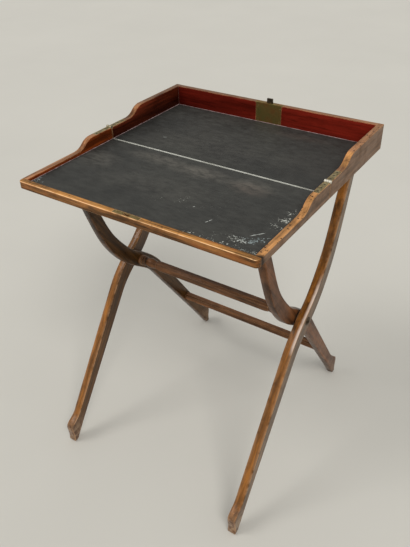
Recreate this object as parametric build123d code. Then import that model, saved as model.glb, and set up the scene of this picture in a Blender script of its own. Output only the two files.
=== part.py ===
from build123d import *
import math
import os

# Folding writing table for travelling.
# A shallow mahogany box opens flat on a brass-hinged middle line and makes the writing surface.
# It stands on two crossed frames: the outer frame carries the rear leaf, the inner frame the front leaf.
# Axes: X to the right, Y from the sitter to the back, Z up from the floor.
# The hinge line of the box is above Y = 0. All sizes are in millimetres.

# ---- writing box -------------------------------------------------------------------------------
BOX_WIDTH = 533.0
LEAF_DEPTH = 266.5        # from the hinge line to the outer face of either leaf
LEAF_GAP = 1.6            # open seam between the two leaves
WALL = 12.7
UNDERSIDE = 703.5         # height of the box above the floor
BOARD = 8.2               # bottom board of a leaf
SKIN = 0.8                # leathercloth glued on the board
MIDDLE_RIM = 35.0         # height of the side walls beside the hinges
HIGH_RIM = 54.4           # height of the walls at the back
RIM_GAP = 0.4             # gap between the two rims when the box is shut
STEP_START = 60.0         # where the side walls leave the middle height
STEP_END = 112.0
EDGE_EASE = 0.6           # small chamfer on the outer and upper edges of the walls
RAIL_CORNER = 8.0         # rounding of the two front corners, seen from above
RAIL_ARRIS = 1.5          # rounding of the upper outer edge of the front rail

# ---- strap hinges ------------------------------------------------------------------------------
STRAP_LENGTH = 50.0
STRAP_WIDTH = 11.0
STRAP_THICKNESS = 1.2
KNUCKLE_RADIUS = 3.2
KNUCKLE_OVERHANG = 0.5    # how far the knuckles stand out of the side of the box
KNUCKLE_GAP = 0.3
HINGE_PIN_RADIUS = 1.25
STRAP_SCREW_FIRST = 13.0
STRAP_SCREW_PITCH = 15.0
STRAP_SCREWS = 3

# ---- crossed frames ----------------------------------------------------------------------------
LEG_INSET = 18.0          # outer face of the outer legs, in from the side of the box
OUTER_LEG_THICKNESS = 20.0
INNER_LEG_THICKNESS = 18.5
FRAME_GAP = 4.5           # between an outer leg and the inner leg beside it
PIVOT_HEIGHT = 404.0      # the crossing
TOP_PIN_REACH = 168.0     # top pins, from the hinge line
TOP_PIN_DROP = 12.0       # top pins, below the box
TOP_RADIUS = 10.5
LOWER_LEAN = 34.8         # lean of the straight lower leg, in degrees from upright
KNEE_HEIGHT = 341.0
KNEE_REACH = 66.0
KNEE_HALF = 16.6          # half widths of a leg, seen from the side
CROSSING_HALF = 19.0
ANKLE_HEIGHT = 73.0
ANKLE_HALF = 13.0
TOE_REACH = 290.0         # where the toe rests on the floor
TOE_FLAT = 7.0
TOE_FRONT = 4.0           # upright face of the toe, beyond the middle of its resting flat
TOE_TOP = 55.0            # height where that face meets the leg
TOE_BULGE = 1.5
TOE_ROUND = 12.0          # height where the face starts to round under
LEG_EASE = 1.6

# Bow of the upper leg: share of the way from crossing to top pin, offset from it, half width.
UPPER_LEG = (
    (0.127, 17.0, 18.0),
    (0.277, 27.1, 17.0),
    (0.428, 30.1, 15.4),
    (0.618, 23.4, 13.6),
    (0.826, 10.8, 12.4),
)

# ---- rails and stretchers of the frames --------------------------------------------------------
PIVOT_BAR = 21.0          # square bar along the pivot line
PIVOT_BAR_CHAMFER = 4.0
TURNED_LENGTH = 50.0      # turned stretch at either end of the pivot bar
TURNED_RADIUS = 13.0      # of the ring beside the leg
TURNED_NECK = 9.4
VASE_RADIUS = 12.4
VASE_LENGTH = 30.0
BEAD_RADIUS = 12.0
BEAD_LENGTH = 6.0
RING_LENGTH = 10.0
PIVOT_TENON_RADIUS = 8.0
LOWER_BAR = 19.0
LOWER_BAR_CHAMFER = 3.5
LOWER_BAR_HEIGHT = 172.0
RAIL_WIDTH = 24.0         # top rails, along the leg
RAIL_THICKNESS = 14.0
RAIL_FROM_PIN = 36.0
TENON_LENGTH = 12.0
TENON_RADIUS = 5.0

# ---- pivot screws ------------------------------------------------------------------------------
PIVOT_SCREW_RADIUS = 4.0
PIVOT_HEAD_RADIUS = 6.5
PIVOT_HEAD_HEIGHT = 2.4
PIVOT_WASHER_RADIUS = 9.5
PIVOT_WASHER = 1.0
SPACER_RADIUS = 14.0
SPACER = 4.0              # washer between the two frames

# ---- brackets under the box --------------------------------------------------------------------
BRACKET_PLATE = 2.5
BRACKET_GAP = 1.0         # between a bracket and its leg
BRACKET_FOOT = 15.0       # width of the plate screwed to the box
BRACKET_LENGTH = 34.0
EAR_RADIUS = 9.0
TOP_PIN_RADIUS = 3.0
TOP_PIN_HEAD_RADIUS = 5.0
TOP_PIN_HEAD = 1.6
TOP_PIN_BLIND = 1.5       # wood left beyond the blind end of a top pin
BRACKET_SCREW_SPACING = 24.0
BRACKET_SCREW_INSET = 6.75  # screws, from the outer face of the ear

# ---- lock --------------------------------------------------------------------------------------
LOCK_WIDTH = 65.0
LOCK_PLATE = 1.2
SELVAGE_WIDTH = 70.0
SELVAGE_DEPTH = 10.0
SELVAGE_THICKNESS = 1.5
CASE_WIDTH = 54.0
CASE_DEPTH = 8.2
CASE_HEIGHT = 36.0
CASE_SHEET = 1.0
BOLT_WIDTH = 14.0
BOLT_THICKNESS = 4.0
BOLT_THROW = 10.5
BOLT_TAIL_WIDTH = 24.0
BOLT_TAIL = 10.0
BOLT_SETBACK = 6.6        # middle of the bolt, from the outer face of the wall
KEYHOLE_HEIGHT = 28.0     # above the underside of the box
KEYHOLE_RADIUS = 2.2
KEYHOLE_SLOT = 7.0
KEY_POST_RADIUS = 0.9
LOCK_SCREW_INSET = 4.0    # screws of the lock plate, from its ends
LOCK_SCREW_LOW = 6.0      # from the lower edge of the plate
LOCK_SCREW_HIGH = 8.0     # from the selvage
LOCK_SCREW_LENGTH = 8.0
ESCUTCHEON_WIDTH = 13.0
ESCUTCHEON_HEIGHT = 21.0
ESCUTCHEON_PLATE = 1.0
STRIKE_WIDTH = 60.0
STRIKE_DEPTH = 9.0
STRIKE_PLATE = 1.2
STRIKE_SCREW_INSET = 7.0
STRIKE_SLOT_CLEARANCE = 1.2
STRIKE_SLOT_DEPTH = 11.6

# ---- fits --------------------------------------------------------------------------------------
FIT = 0.05                # screws, pins and tenons in their holes
RUNNING_FIT = 0.06        # pins that turn
INLAY_FIT = 0.1           # brass let into wood
BODY_GAP = 0.3            # between pieces that move past each other
SCREW_HEAD_RADIUS = 2.3
SCREW_SHANK_RADIUS = 1.15
SCREW_SLOT = 0.6
STRAP_SCREW_LENGTH = 9.0
BRACKET_SCREW_LENGTH = 8.5

# ---- places worked out from the sizes ----------------------------------------------------------
HALF_WIDTH = BOX_WIDTH / 2
INNER_FACE = HALF_WIDTH - WALL
SEAM = LEAF_GAP / 2
MIDDLE_TOP = UNDERSIDE + MIDDLE_RIM
HIGH_TOP = UNDERSIDE + HIGH_RIM
HINGE_HEIGHT = MIDDLE_TOP + RIM_GAP / 2
LOW_TOP = 2 * HINGE_HEIGHT - HIGH_TOP - RIM_GAP
FLOOR_TOP = UNDERSIDE + BOARD + SKIN
TOP_PIN_HEIGHT = UNDERSIDE - TOP_PIN_DROP
OUTER_LEG_FACE = HALF_WIDTH - LEG_INSET
OUTER_LEG_INNER = OUTER_LEG_FACE - OUTER_LEG_THICKNESS
INNER_LEG_FACE = OUTER_LEG_INNER - FRAME_GAP
INNER_LEG_INNER = INNER_LEG_FACE - INNER_LEG_THICKNESS
WALL_MIDDLE = HALF_WIDTH - WALL / 2
BOLT_Y = LEAF_DEPTH - BOLT_SETBACK
STRAP_SCREW_PLACES = [STRAP_SCREW_FIRST + i * STRAP_SCREW_PITCH for i in range(STRAP_SCREWS)]
REACH = 20.0              # how far a cutting tool runs past what it cuts


# ---- helpers -----------------------------------------------------------------------------------
def block(x, y, z):
    """A box between two values on each axis, given in either order."""
    size = [abs(b - a) for a, b in (x, y, z)]
    middle = [(a + b) / 2 for a, b in (x, y, z)]
    return Pos(*middle) * Box(*size)


def rod(x, radius, y, z):
    """A round bar along X."""
    length = abs(x[1] - x[0])
    return Pos((x[0] + x[1]) / 2, y, z) * Rot(0, 90, 0) * Cylinder(radius, length)


def left_of(shape):
    """The same piece on the left-hand side."""
    return mirror(shape, Plane.YZ)


def pair(shape):
    return [shape, left_of(shape)]


def wood_screw(length):
    """A slotted countersunk screw, its head up and level with Z = 0."""
    head = SCREW_HEAD_RADIUS - SCREW_SHANK_RADIUS
    point = 2 * SCREW_SHANK_RADIUS
    outline = Polyline(
        (0, 0),
        (SCREW_HEAD_RADIUS, 0),
        (SCREW_SHANK_RADIUS, -head),
        (SCREW_SHANK_RADIUS, point - length),
        (0, -length),
        close=True,
    )
    body = revolve(Plane.XZ * make_face(outline), Axis.Z)
    slot = Box(3 * SCREW_HEAD_RADIUS, SCREW_SLOT, 2 * SCREW_SLOT)
    return body - slot


def screw_hole(length):
    """The countersunk hole that a wood screw fills."""
    head = SCREW_HEAD_RADIUS + FIT
    shank = SCREW_SHANK_RADIUS + FIT
    cone = Pos(0, 0, -(head - shank) / 2) * Cone(shank, head, head - shank)
    above = Pos(0, 0, REACH / 2) * Cylinder(head, REACH)
    drill = Pos(0, 0, -(length + FIT) / 2) * Cylinder(shank, length + FIT)
    return cone + above + drill


# ---- box walls ---------------------------------------------------------------------------------
def rim_line(outer_top):
    """Top edge of a side wall: level, a double curve, then level again."""
    middle = ((STEP_START + STEP_END) / 2, (MIDDLE_TOP + outer_top) / 2)
    first = TangentArc((STEP_START, MIDDLE_TOP), middle, tangent=(1, 0))
    last = TangentArc(middle, (STEP_END, outer_top), tangent=first % 1)
    return first, last


def eased(wall, is_felt):
    """The wall with its small chamfer on the edges whose middles pass the test."""
    return chamfer([edge for edge in wall.edges() if is_felt(edge.center())], EDGE_EASE)


def side_wall(front):
    """Right-hand side wall of a leaf. At the front it stops behind the rail."""
    outer_top = LOW_TOP if front else HIGH_TOP
    end = LEAF_DEPTH - WALL if front else LEAF_DEPTH
    first, last = rim_line(outer_top)
    outline = Wire([
        Line((SEAM, UNDERSIDE), (SEAM, MIDDLE_TOP)),
        Line((SEAM, MIDDLE_TOP), (STEP_START, MIDDLE_TOP)),
        first,
        last,
        Line((STEP_END, outer_top), (end, outer_top)),
        Line((end, outer_top), (end, UNDERSIDE)),
        Line((end, UNDERSIDE), (SEAM, UNDERSIDE)),
    ])
    face = Plane.YZ * Face(outline)
    wall = extrude(face.moved(Pos(INNER_FACE, 0, 0)), WALL, dir=(1, 0, 0))

    def is_felt(middle):
        joined = middle.Y < LEAF_GAP or front and middle.Y > end - EDGE_EASE
        outside = middle.X > HALF_WIDTH - EDGE_EASE
        along = middle.Y < end - EDGE_EASE and middle.Z > min(MIDDLE_TOP, outer_top) - EDGE_EASE
        return not joined and (outside or along)

    wall = eased(wall, is_felt)
    wall -= rod((INNER_FACE - REACH, HALF_WIDTH + REACH), KNUCKLE_RADIUS + BODY_GAP, 0, HINGE_HEIGHT)
    wall -= block(
        (WALL_MIDDLE - STRAP_WIDTH / 2 - INLAY_FIT, WALL_MIDDLE + STRAP_WIDTH / 2 + INLAY_FIT),
        (0, STRAP_LENGTH + INLAY_FIT),
        (MIDDLE_TOP - STRAP_THICKNESS, MIDDLE_TOP + REACH),
    )
    for place in STRAP_SCREW_PLACES:
        wall -= Pos(WALL_MIDDLE, place, MIDDLE_TOP) * screw_hole(STRAP_SCREW_LENGTH)
    return on_leaf(wall, front)


def on_leaf(shape, front):
    """Pieces are drawn for the rear leaf, and those of the front leaf are turned over to it."""
    return mirror(shape, Plane.XZ) if front else shape


def sheet_between_walls(heights, front):
    sheet = block((-INNER_FACE, INNER_FACE), (SEAM, LEAF_DEPTH - WALL), heights)
    return on_leaf(sheet, front)


def board(front):
    return sheet_between_walls((UNDERSIDE, UNDERSIDE + BOARD), front)


def skin(front):
    return sheet_between_walls((UNDERSIDE + BOARD, FLOOR_TOP), front)


def end_wall(half_length, top):
    """The wall across the outer edge of a leaf."""
    return block((-half_length, half_length), (LEAF_DEPTH - WALL, LEAF_DEPTH), (UNDERSIDE, top))


# ---- strap hinges ------------------------------------------------------------------------------
def knuckle_spans():
    """The three knuckles along X: the outer two are on the front leaf, the middle one on the rear."""
    whole = WALL + KNUCKLE_OVERHANG
    each = (whole - 2 * KNUCKLE_GAP) / 3
    starts = [INNER_FACE + i * (each + KNUCKLE_GAP) for i in range(3)]
    return [(start, start + each) for start in starts]


def strap(front):
    """Right-hand strap of a hinge with its knuckles."""
    spans = knuckle_spans()
    own = [spans[0], spans[2]] if front else [spans[1]]
    others = [spans[1]] if front else [spans[0], spans[2]]
    plate = block(
        (WALL_MIDDLE - STRAP_WIDTH / 2, WALL_MIDDLE + STRAP_WIDTH / 2),
        (0, STRAP_LENGTH),
        (MIDDLE_TOP - STRAP_THICKNESS, MIDDLE_TOP),
    )
    for start, end in others:
        plate -= rod((start - KNUCKLE_GAP, end + KNUCKLE_GAP), KNUCKLE_RADIUS + BODY_GAP, 0, HINGE_HEIGHT)
    for start, end in own:
        plate += rod((start, end), KNUCKLE_RADIUS, 0, HINGE_HEIGHT)
    bore = HINGE_PIN_RADIUS + (RUNNING_FIT if front else FIT)
    plate -= rod((INNER_FACE - REACH, HALF_WIDTH + REACH), bore, 0, HINGE_HEIGHT)
    for place in STRAP_SCREW_PLACES:
        plate -= Pos(WALL_MIDDLE, place, MIDDLE_TOP) * screw_hole(STRAP_SCREW_LENGTH)
    return on_leaf(plate, front)


def strap_screws(front):
    screw = wood_screw(STRAP_SCREW_LENGTH)
    screws = [Pos(WALL_MIDDLE, place, MIDDLE_TOP) * screw for place in STRAP_SCREW_PLACES]
    return [on_leaf(copy, front) for placed in screws for copy in pair(placed)]


def hinge_pin():
    return rod((INNER_FACE, HALF_WIDTH + KNUCKLE_OVERHANG), HINGE_PIN_RADIUS, 0, HINGE_HEIGHT)


# ---- lock in the back wall ---------------------------------------------------------------------
CASE_TOP = HIGH_TOP - SELVAGE_THICKNESS
CASE_FRONT = LEAF_DEPTH - WALL + LOCK_PLATE
CASE_BACK = CASE_FRONT + CASE_DEPTH
LOCK_SCREW_X = LOCK_WIDTH / 2 - LOCK_SCREW_INSET
LOCK_SCREW_HEIGHTS = (FLOOR_TOP + LOCK_SCREW_LOW, CASE_TOP - LOCK_SCREW_HIGH)


def keyhole(y):
    """Cutting tool for a keyhole running along Y between two values."""
    spot = Pos(0, sum(y) / 2, UNDERSIDE + KEYHOLE_HEIGHT)
    round_part = spot * Rot(90, 0, 0) * Cylinder(KEYHOLE_RADIUS, y[1] - y[0])
    slot = block(
        (-KEYHOLE_RADIUS / 2, KEYHOLE_RADIUS / 2),
        y,
        (UNDERSIDE + KEYHOLE_HEIGHT - KEYHOLE_SLOT, UNDERSIDE + KEYHOLE_HEIGHT),
    )
    return round_part + slot


def lock_screw_places():
    return [(side * LOCK_SCREW_X, height) for side in (-1, 1) for height in LOCK_SCREW_HEIGHTS]


def bolt_window(clearance):
    """Space that the bolt passes through in the selvage."""
    half = BOLT_THICKNESS / 2 + clearance
    return block(
        (-BOLT_WIDTH / 2 - clearance, BOLT_WIDTH / 2 + clearance),
        (BOLT_Y - half, BOLT_Y + half),
        (CASE_TOP - REACH, HIGH_TOP + REACH),
    )


def lock_plate():
    """Brass plate on the inside of the back wall, turned over its top as the selvage."""
    face = block((-LOCK_WIDTH / 2, LOCK_WIDTH / 2), (LEAF_DEPTH - WALL, CASE_FRONT), (FLOOR_TOP, HIGH_TOP))
    top = block(
        (-SELVAGE_WIDTH / 2, SELVAGE_WIDTH / 2),
        (LEAF_DEPTH - WALL, LEAF_DEPTH - WALL + SELVAGE_DEPTH),
        (CASE_TOP, HIGH_TOP),
    )
    plate = face + top - bolt_window(BODY_GAP)
    for x, z in lock_screw_places():
        plate -= Pos(x, LEAF_DEPTH - WALL, z) * Rot(90, 0, 0) * screw_hole(LOCK_SCREW_LENGTH)
    return plate


def lock_case():
    """Open-topped sheet box behind the plate, with the post that the key turns on."""
    outside = block(
        (-CASE_WIDTH / 2, CASE_WIDTH / 2),
        (CASE_FRONT, CASE_BACK),
        (CASE_TOP - CASE_HEIGHT, CASE_TOP),
    )
    inside = block(
        (-CASE_WIDTH / 2 + CASE_SHEET, CASE_WIDTH / 2 - CASE_SHEET),
        (CASE_FRONT + CASE_SHEET, CASE_BACK - CASE_SHEET),
        (CASE_TOP - CASE_HEIGHT + CASE_SHEET, CASE_TOP + REACH),
    )
    post_middle = Pos(0, (CASE_FRONT + CASE_BACK) / 2, UNDERSIDE + KEYHOLE_HEIGHT)
    post = post_middle * Rot(90, 0, 0) * Cylinder(KEY_POST_RADIUS, CASE_BACK - CASE_FRONT)
    return outside - inside - keyhole((CASE_BACK - CASE_SHEET - FIT, CASE_BACK + REACH)) + post


def lock_bolt():
    """Flat bolt, thrown up, with a wider tail that stays inside the case."""
    tail_top = CASE_TOP - BODY_GAP
    stem = block(
        (-BOLT_WIDTH / 2, BOLT_WIDTH / 2),
        (BOLT_Y - BOLT_THICKNESS / 2, BOLT_Y + BOLT_THICKNESS / 2),
        (tail_top - BOLT_TAIL, HIGH_TOP + BOLT_THROW),
    )
    tail = block(
        (-BOLT_TAIL_WIDTH / 2, BOLT_TAIL_WIDTH / 2),
        (BOLT_Y - BOLT_THICKNESS / 2, BOLT_Y + BOLT_THICKNESS / 2),
        (tail_top - BOLT_TAIL, tail_top),
    )
    return stem + tail


def lock_screws():
    return [
        Pos(x, LEAF_DEPTH - WALL, z) * Rot(90, 0, 0) * wood_screw(LOCK_SCREW_LENGTH)
        for x, z in lock_screw_places()
    ]


def escutcheon_blank(clearance):
    width = ESCUTCHEON_WIDTH + 2 * clearance
    height = ESCUTCHEON_HEIGHT + 2 * clearance
    outline = Plane.XZ * SlotOverall(height, width, rotation=90)
    plate = extrude(outline, ESCUTCHEON_PLATE)
    centre = UNDERSIDE + KEYHOLE_HEIGHT - KEYHOLE_SLOT / 2
    return Pos(0, LEAF_DEPTH, centre) * plate


def key_escutcheon():
    return escutcheon_blank(0) - keyhole((LEAF_DEPTH - REACH, LEAF_DEPTH + REACH))


def back_wall():
    """The high back wall with the hollows for the lock and the keyhole plate."""
    wall = end_wall(INNER_FACE, HIGH_TOP)
    wall = eased(wall, lambda middle: middle.X == 0 and (middle.Z == HIGH_TOP or middle.Y == LEAF_DEPTH))
    wall -= block(
        (-LOCK_WIDTH / 2 - INLAY_FIT, LOCK_WIDTH / 2 + INLAY_FIT),
        (LEAF_DEPTH - WALL - REACH, CASE_FRONT),
        (FLOOR_TOP, HIGH_TOP + REACH),
    )
    wall -= block(
        (-SELVAGE_WIDTH / 2 - INLAY_FIT, SELVAGE_WIDTH / 2 + INLAY_FIT),
        (LEAF_DEPTH - WALL - REACH, LEAF_DEPTH - WALL + SELVAGE_DEPTH + INLAY_FIT),
        (CASE_TOP, HIGH_TOP + REACH),
    )
    wall -= block(
        (-CASE_WIDTH / 2 - INLAY_FIT, CASE_WIDTH / 2 + INLAY_FIT),
        (LEAF_DEPTH - WALL - REACH, CASE_BACK + INLAY_FIT),
        (CASE_TOP - CASE_HEIGHT - INLAY_FIT, HIGH_TOP + REACH),
    )
    wall -= keyhole((CASE_BACK - REACH, LEAF_DEPTH + REACH))
    wall -= escutcheon_blank(INLAY_FIT)
    for x, z in lock_screw_places():
        wall -= Pos(x, LEAF_DEPTH - WALL, z) * Rot(90, 0, 0) * screw_hole(LOCK_SCREW_LENGTH)
    return wall


# ---- strike plate in the front rail ------------------------------------------------------------
STRIKE_SCREW_X = STRIKE_WIDTH / 2 - STRIKE_SCREW_INSET


def strike_blank(clearance):
    return block(
        (-STRIKE_WIDTH / 2 - clearance, STRIKE_WIDTH / 2 + clearance),
        (-BOLT_Y - STRIKE_DEPTH / 2 - clearance, -BOLT_Y + STRIKE_DEPTH / 2 + clearance),
        (LOW_TOP - STRIKE_PLATE, LOW_TOP),
    )


def strike_slot():
    half = BOLT_THICKNESS / 2 + STRIKE_SLOT_CLEARANCE
    return block(
        (-BOLT_WIDTH / 2 - STRIKE_SLOT_CLEARANCE, BOLT_WIDTH / 2 + STRIKE_SLOT_CLEARANCE),
        (-BOLT_Y - half, -BOLT_Y + half),
        (LOW_TOP - STRIKE_SLOT_DEPTH, LOW_TOP + REACH),
    )


def strike_screw_spots():
    return [Pos(side * STRIKE_SCREW_X, -BOLT_Y, LOW_TOP) for side in (-1, 1)]


def strike_plate():
    plate = strike_blank(0) - strike_slot()
    for spot in strike_screw_spots():
        plate -= spot * screw_hole(STRAP_SCREW_LENGTH)
    return plate


def outer_edges(edges):
    """Those that are not on the inner face of the wall."""
    return edges.filter_by(lambda edge: edge.center().Y > LEAF_DEPTH - WALL + EDGE_EASE)


def front_rail():
    """The low wall nearest the sitter, across the side walls, with the strike plate let in."""
    rail = end_wall(HALF_WIDTH, LOW_TOP)
    corners = rail.edges().filter_by(Axis.Z).group_by(Axis.Y)[-1]
    rail = fillet(corners, RAIL_CORNER)
    rail = fillet(outer_edges(rail.edges().group_by(Axis.Z)[-1]), RAIL_ARRIS)
    rail = chamfer(outer_edges(rail.edges().group_by(Axis.Z)[0]), EDGE_EASE)
    rail = mirror(rail, Plane.XZ)
    rail -= strike_blank(INLAY_FIT)
    rail -= strike_slot()
    for spot in strike_screw_spots():
        rail -= spot * screw_hole(STRAP_SCREW_LENGTH)
    return rail


# ---- legs --------------------------------------------------------------------------------------
def leg_stations():
    """Middle line of a leg, from knee to top pin, as (reach, height, half width)."""
    span = (TOP_PIN_REACH, TOP_PIN_HEIGHT - PIVOT_HEIGHT)
    length = math.hypot(*span)
    across = (span[1] / length, -span[0] / length)
    stations = [(-KNEE_REACH, KNEE_HEIGHT, KNEE_HALF), (0.0, PIVOT_HEIGHT, CROSSING_HALF)]
    for share, bow, half in UPPER_LEG:
        reach = share * span[0] + bow * across[0]
        height = PIVOT_HEIGHT + share * span[1] + bow * across[1]
        stations.append((reach, height, half))
    stations.append((TOP_PIN_REACH, TOP_PIN_HEIGHT, TOP_RADIUS))
    return stations


def lean_at(stations, index):
    """Direction of the middle line at a station, as a unit vector."""
    if index == 0:
        angle = math.radians(LOWER_LEAN)
        return math.sin(angle), math.cos(angle)
    before = stations[index - 1]
    after = stations[min(index + 1, len(stations) - 1)]
    reach, height = after[0] - before[0], after[1] - before[1]
    length = math.hypot(reach, height)
    return reach / length, height / length


def beside(station, lean, side):
    """A point on the edge of the leg: side 1 faces the box, side -1 the floor."""
    return station[0] - side * lean[1] * station[2], station[1] + side * lean[0] * station[2]


def leg_outline():
    """Side view of a leg in (reach, height), its top end round about the top pin."""
    stations = leg_stations()
    leans = [lean_at(stations, i) for i in range(len(stations))]
    upper = [beside(s, lean, 1) for s, lean in zip(stations, leans)]
    lower = [beside(s, lean, -1) for s, lean in zip(stations, leans)]
    tip = (TOP_PIN_REACH + TOP_RADIUS * leans[-1][0], TOP_PIN_HEIGHT + TOP_RADIUS * leans[-1][1])
    drop = KNEE_HEIGHT - ANKLE_HEIGHT
    ankle = (-KNEE_REACH - drop * math.tan(math.radians(LOWER_LEAN)), ANKLE_HEIGHT, ANKLE_HALF)
    ankle_upper = beside(ankle, leans[0], 1)
    ankle_lower = beside(ankle, leans[0], -1)
    edge_up = Line(ankle_upper, upper[0])
    edge_down = Line(lower[0], ankle_lower)
    rest_back = (-TOE_REACH + TOE_FLAT / 2, 0)
    rest_front = (-TOE_REACH - TOE_FLAT / 2, 0)
    toe_top = (-TOE_REACH - TOE_FRONT, TOE_TOP)
    face = [(toe_top[0] - TOE_BULGE / 2, TOE_ROUND), (toe_top[0] - TOE_BULGE, (TOE_ROUND + TOE_TOP) / 2)]
    end = leans[-1]
    return Wire([
        edge_up,
        Spline(*upper, tangents=[edge_up % 1, end]),
        ThreePointArc(upper[-1], tip, lower[-1]),
        Spline(*reversed(lower), tangents=[(-end[0], -end[1]), edge_down % 0]),
        edge_down,
        Spline(ankle_lower, rest_back, tangents=[edge_down % 1, edge_down % 1]),
        Line(rest_back, rest_front),
        Spline(rest_front, *face, toe_top, tangents=[(-1, 0.5), (1, 1)]),
        Spline(toe_top, ankle_upper, tangents=[(1, 1), edge_up % 0]),
    ])


def leg(outer):
    """Right-hand leg of a frame, its holes drilled."""
    inner_face = OUTER_LEG_INNER if outer else INNER_LEG_INNER
    outer_face = OUTER_LEG_FACE if outer else INNER_LEG_FACE
    face = Plane.YZ * Face(leg_outline())
    body = extrude(face.moved(Pos(inner_face, 0, 0)), outer_face - inner_face, dir=(1, 0, 0))
    flat_faces = body.faces().filter_by(Axis.X)
    body = chamfer(flat_faces.edges(), LEG_EASE)
    span = (inner_face - REACH, outer_face + REACH)
    pivot_radius = PIVOT_SCREW_RADIUS if outer else PIVOT_TENON_RADIUS
    body -= rod(span, pivot_radius + FIT, 0, PIVOT_HEIGHT)
    body -= rod(top_pin_span(outer), TOP_PIN_RADIUS + RUNNING_FIT, TOP_PIN_REACH, TOP_PIN_HEIGHT)
    body -= rail_tenon(outer, FIT)
    if not outer:
        body -= lower_bar_tenon(FIT)
    return on_frame(body, outer)


def on_frame(shape, outer):
    """Frames are drawn with their top at the back, as the outer one stands, and turned for the inner."""
    return shape if outer else mirror(shape, Plane.XZ)


# ---- rails and stretchers ----------------------------------------------------------------------
def rail_place():
    """Middle of a top rail and the lean of its leg, in degrees from upright."""
    stations = leg_stations()
    lean = lean_at(stations, len(stations) - 1)
    reach = TOP_PIN_REACH - RAIL_FROM_PIN * lean[0]
    height = TOP_PIN_HEIGHT - RAIL_FROM_PIN * lean[1]
    return reach, height, math.degrees(math.atan2(lean[0], lean[1]))


def rail_tenon(outer, clearance):
    """Right-hand peg of a top rail."""
    reach, height, _ = rail_place()
    inner_face = OUTER_LEG_INNER if outer else INNER_LEG_INNER
    return rod((inner_face, inner_face + TENON_LENGTH + clearance), TENON_RADIUS + clearance, reach, height)


def top_rail(outer):
    reach, height, lean = rail_place()
    inner_face = OUTER_LEG_INNER if outer else INNER_LEG_INNER
    bar = Box(2 * inner_face, RAIL_THICKNESS, RAIL_WIDTH)
    bar = chamfer(bar.edges().filter_by(Axis.X), LEG_EASE)
    bar = Pos(0, reach, height) * Rot(-lean, 0, 0) * bar
    for tenon in pair(rail_tenon(outer, 0)):
        bar += tenon
    return on_frame(bar, outer)


def lower_bar_reach():
    """Where the middle line of a leg passes the height of the lower stretcher."""
    return -KNEE_REACH - (KNEE_HEIGHT - LOWER_BAR_HEIGHT) * math.tan(math.radians(LOWER_LEAN))


def lower_bar_tenon(clearance):
    return rod(
        (INNER_LEG_INNER, INNER_LEG_INNER + TENON_LENGTH + clearance),
        TENON_RADIUS + clearance, lower_bar_reach(), LOWER_BAR_HEIGHT,
    )


def lower_stretcher():
    bar = Box(2 * INNER_LEG_INNER, LOWER_BAR, LOWER_BAR)
    bar = chamfer(bar.edges().filter_by(Axis.X), LOWER_BAR_CHAMFER)
    bar = Pos(0, lower_bar_reach(), LOWER_BAR_HEIGHT) * bar
    for tenon in pair(lower_bar_tenon(0)):
        bar += tenon
    return on_frame(bar, outer=False)


def turned_end():
    """Right-hand turned stretch of the pivot stretcher: vase, bead and ring, with its through tenon."""
    start = (INNER_LEG_INNER - TURNED_LENGTH, TURNED_NECK)
    vase = (start[0] + VASE_LENGTH, TURNED_NECK)
    bead = (vase[0] + BEAD_LENGTH, TURNED_NECK)
    ring_start = (INNER_LEG_INNER - RING_LENGTH, TURNED_NECK)
    ring_end = (INNER_LEG_INNER, TURNED_NECK)
    belly = ((start[0] + vase[0]) / 2, VASE_RADIUS)
    bead_crown = ((vase[0] + bead[0]) / 2, BEAD_RADIUS)
    ring_crown = ((ring_start[0] + ring_end[0]) / 2, TURNED_RADIUS)
    tenon = (INNER_LEG_INNER, PIVOT_TENON_RADIUS)
    tenon_end = (INNER_LEG_FACE, PIVOT_TENON_RADIUS)
    outline = Wire([
        Line((start[0], 0), start),
        Spline(start, belly, vase, tangents=[(1, 0.4), (1, -0.2)]),
        ThreePointArc(vase, bead_crown, bead),
        Line(bead, ring_start),
        ThreePointArc(ring_start, ring_crown, ring_end),
        Line(ring_end, tenon),
        Line(tenon, tenon_end),
        Line(tenon_end, (INNER_LEG_FACE, 0)),
        Line((INNER_LEG_FACE, 0), (start[0], 0)),
    ])
    return Pos(0, 0, PIVOT_HEIGHT) * revolve(Plane.XZ * Face(outline), Axis.X)


def pivot_stretcher():
    """Bar along the pivot line between the inner legs, square in the middle and turned at the ends."""
    half = INNER_LEG_INNER - TURNED_LENGTH
    bar = Box(2 * half, PIVOT_BAR, PIVOT_BAR)
    bar = chamfer(bar.edges().filter_by(Axis.X), PIVOT_BAR_CHAMFER)
    bar = Pos(0, 0, PIVOT_HEIGHT) * bar
    for end in pair(turned_end()):
        bar += end
    return bar


# ---- pivot screws ------------------------------------------------------------------------------
def pivot_screw():
    """Right-hand domed screw through the outer leg; it stops level with the spacer washer."""
    seat = OUTER_LEG_FACE + PIVOT_WASHER
    point = OUTER_LEG_INNER - SPACER
    crown = (seat + PIVOT_HEAD_HEIGHT, 0)
    shoulder = (seat + PIVOT_HEAD_HEIGHT * 0.75, PIVOT_HEAD_RADIUS / 2)
    outline = Wire([
        Line((point, 0), (point, PIVOT_SCREW_RADIUS)),
        Line((point, PIVOT_SCREW_RADIUS), (seat, PIVOT_SCREW_RADIUS)),
        Line((seat, PIVOT_SCREW_RADIUS), (seat, PIVOT_HEAD_RADIUS)),
        ThreePointArc((seat, PIVOT_HEAD_RADIUS), shoulder, crown),
        Line(crown, (point, 0)),
    ])
    body = Pos(0, 0, PIVOT_HEIGHT) * revolve(Plane.XZ * Face(outline), Axis.X)
    slot = block(
        (seat + PIVOT_HEAD_HEIGHT / 2, seat + REACH),
        (-PIVOT_HEAD_RADIUS - REACH, PIVOT_HEAD_RADIUS + REACH),
        (PIVOT_HEIGHT - SCREW_SLOT, PIVOT_HEIGHT + SCREW_SLOT),
    )
    return body - slot


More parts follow.
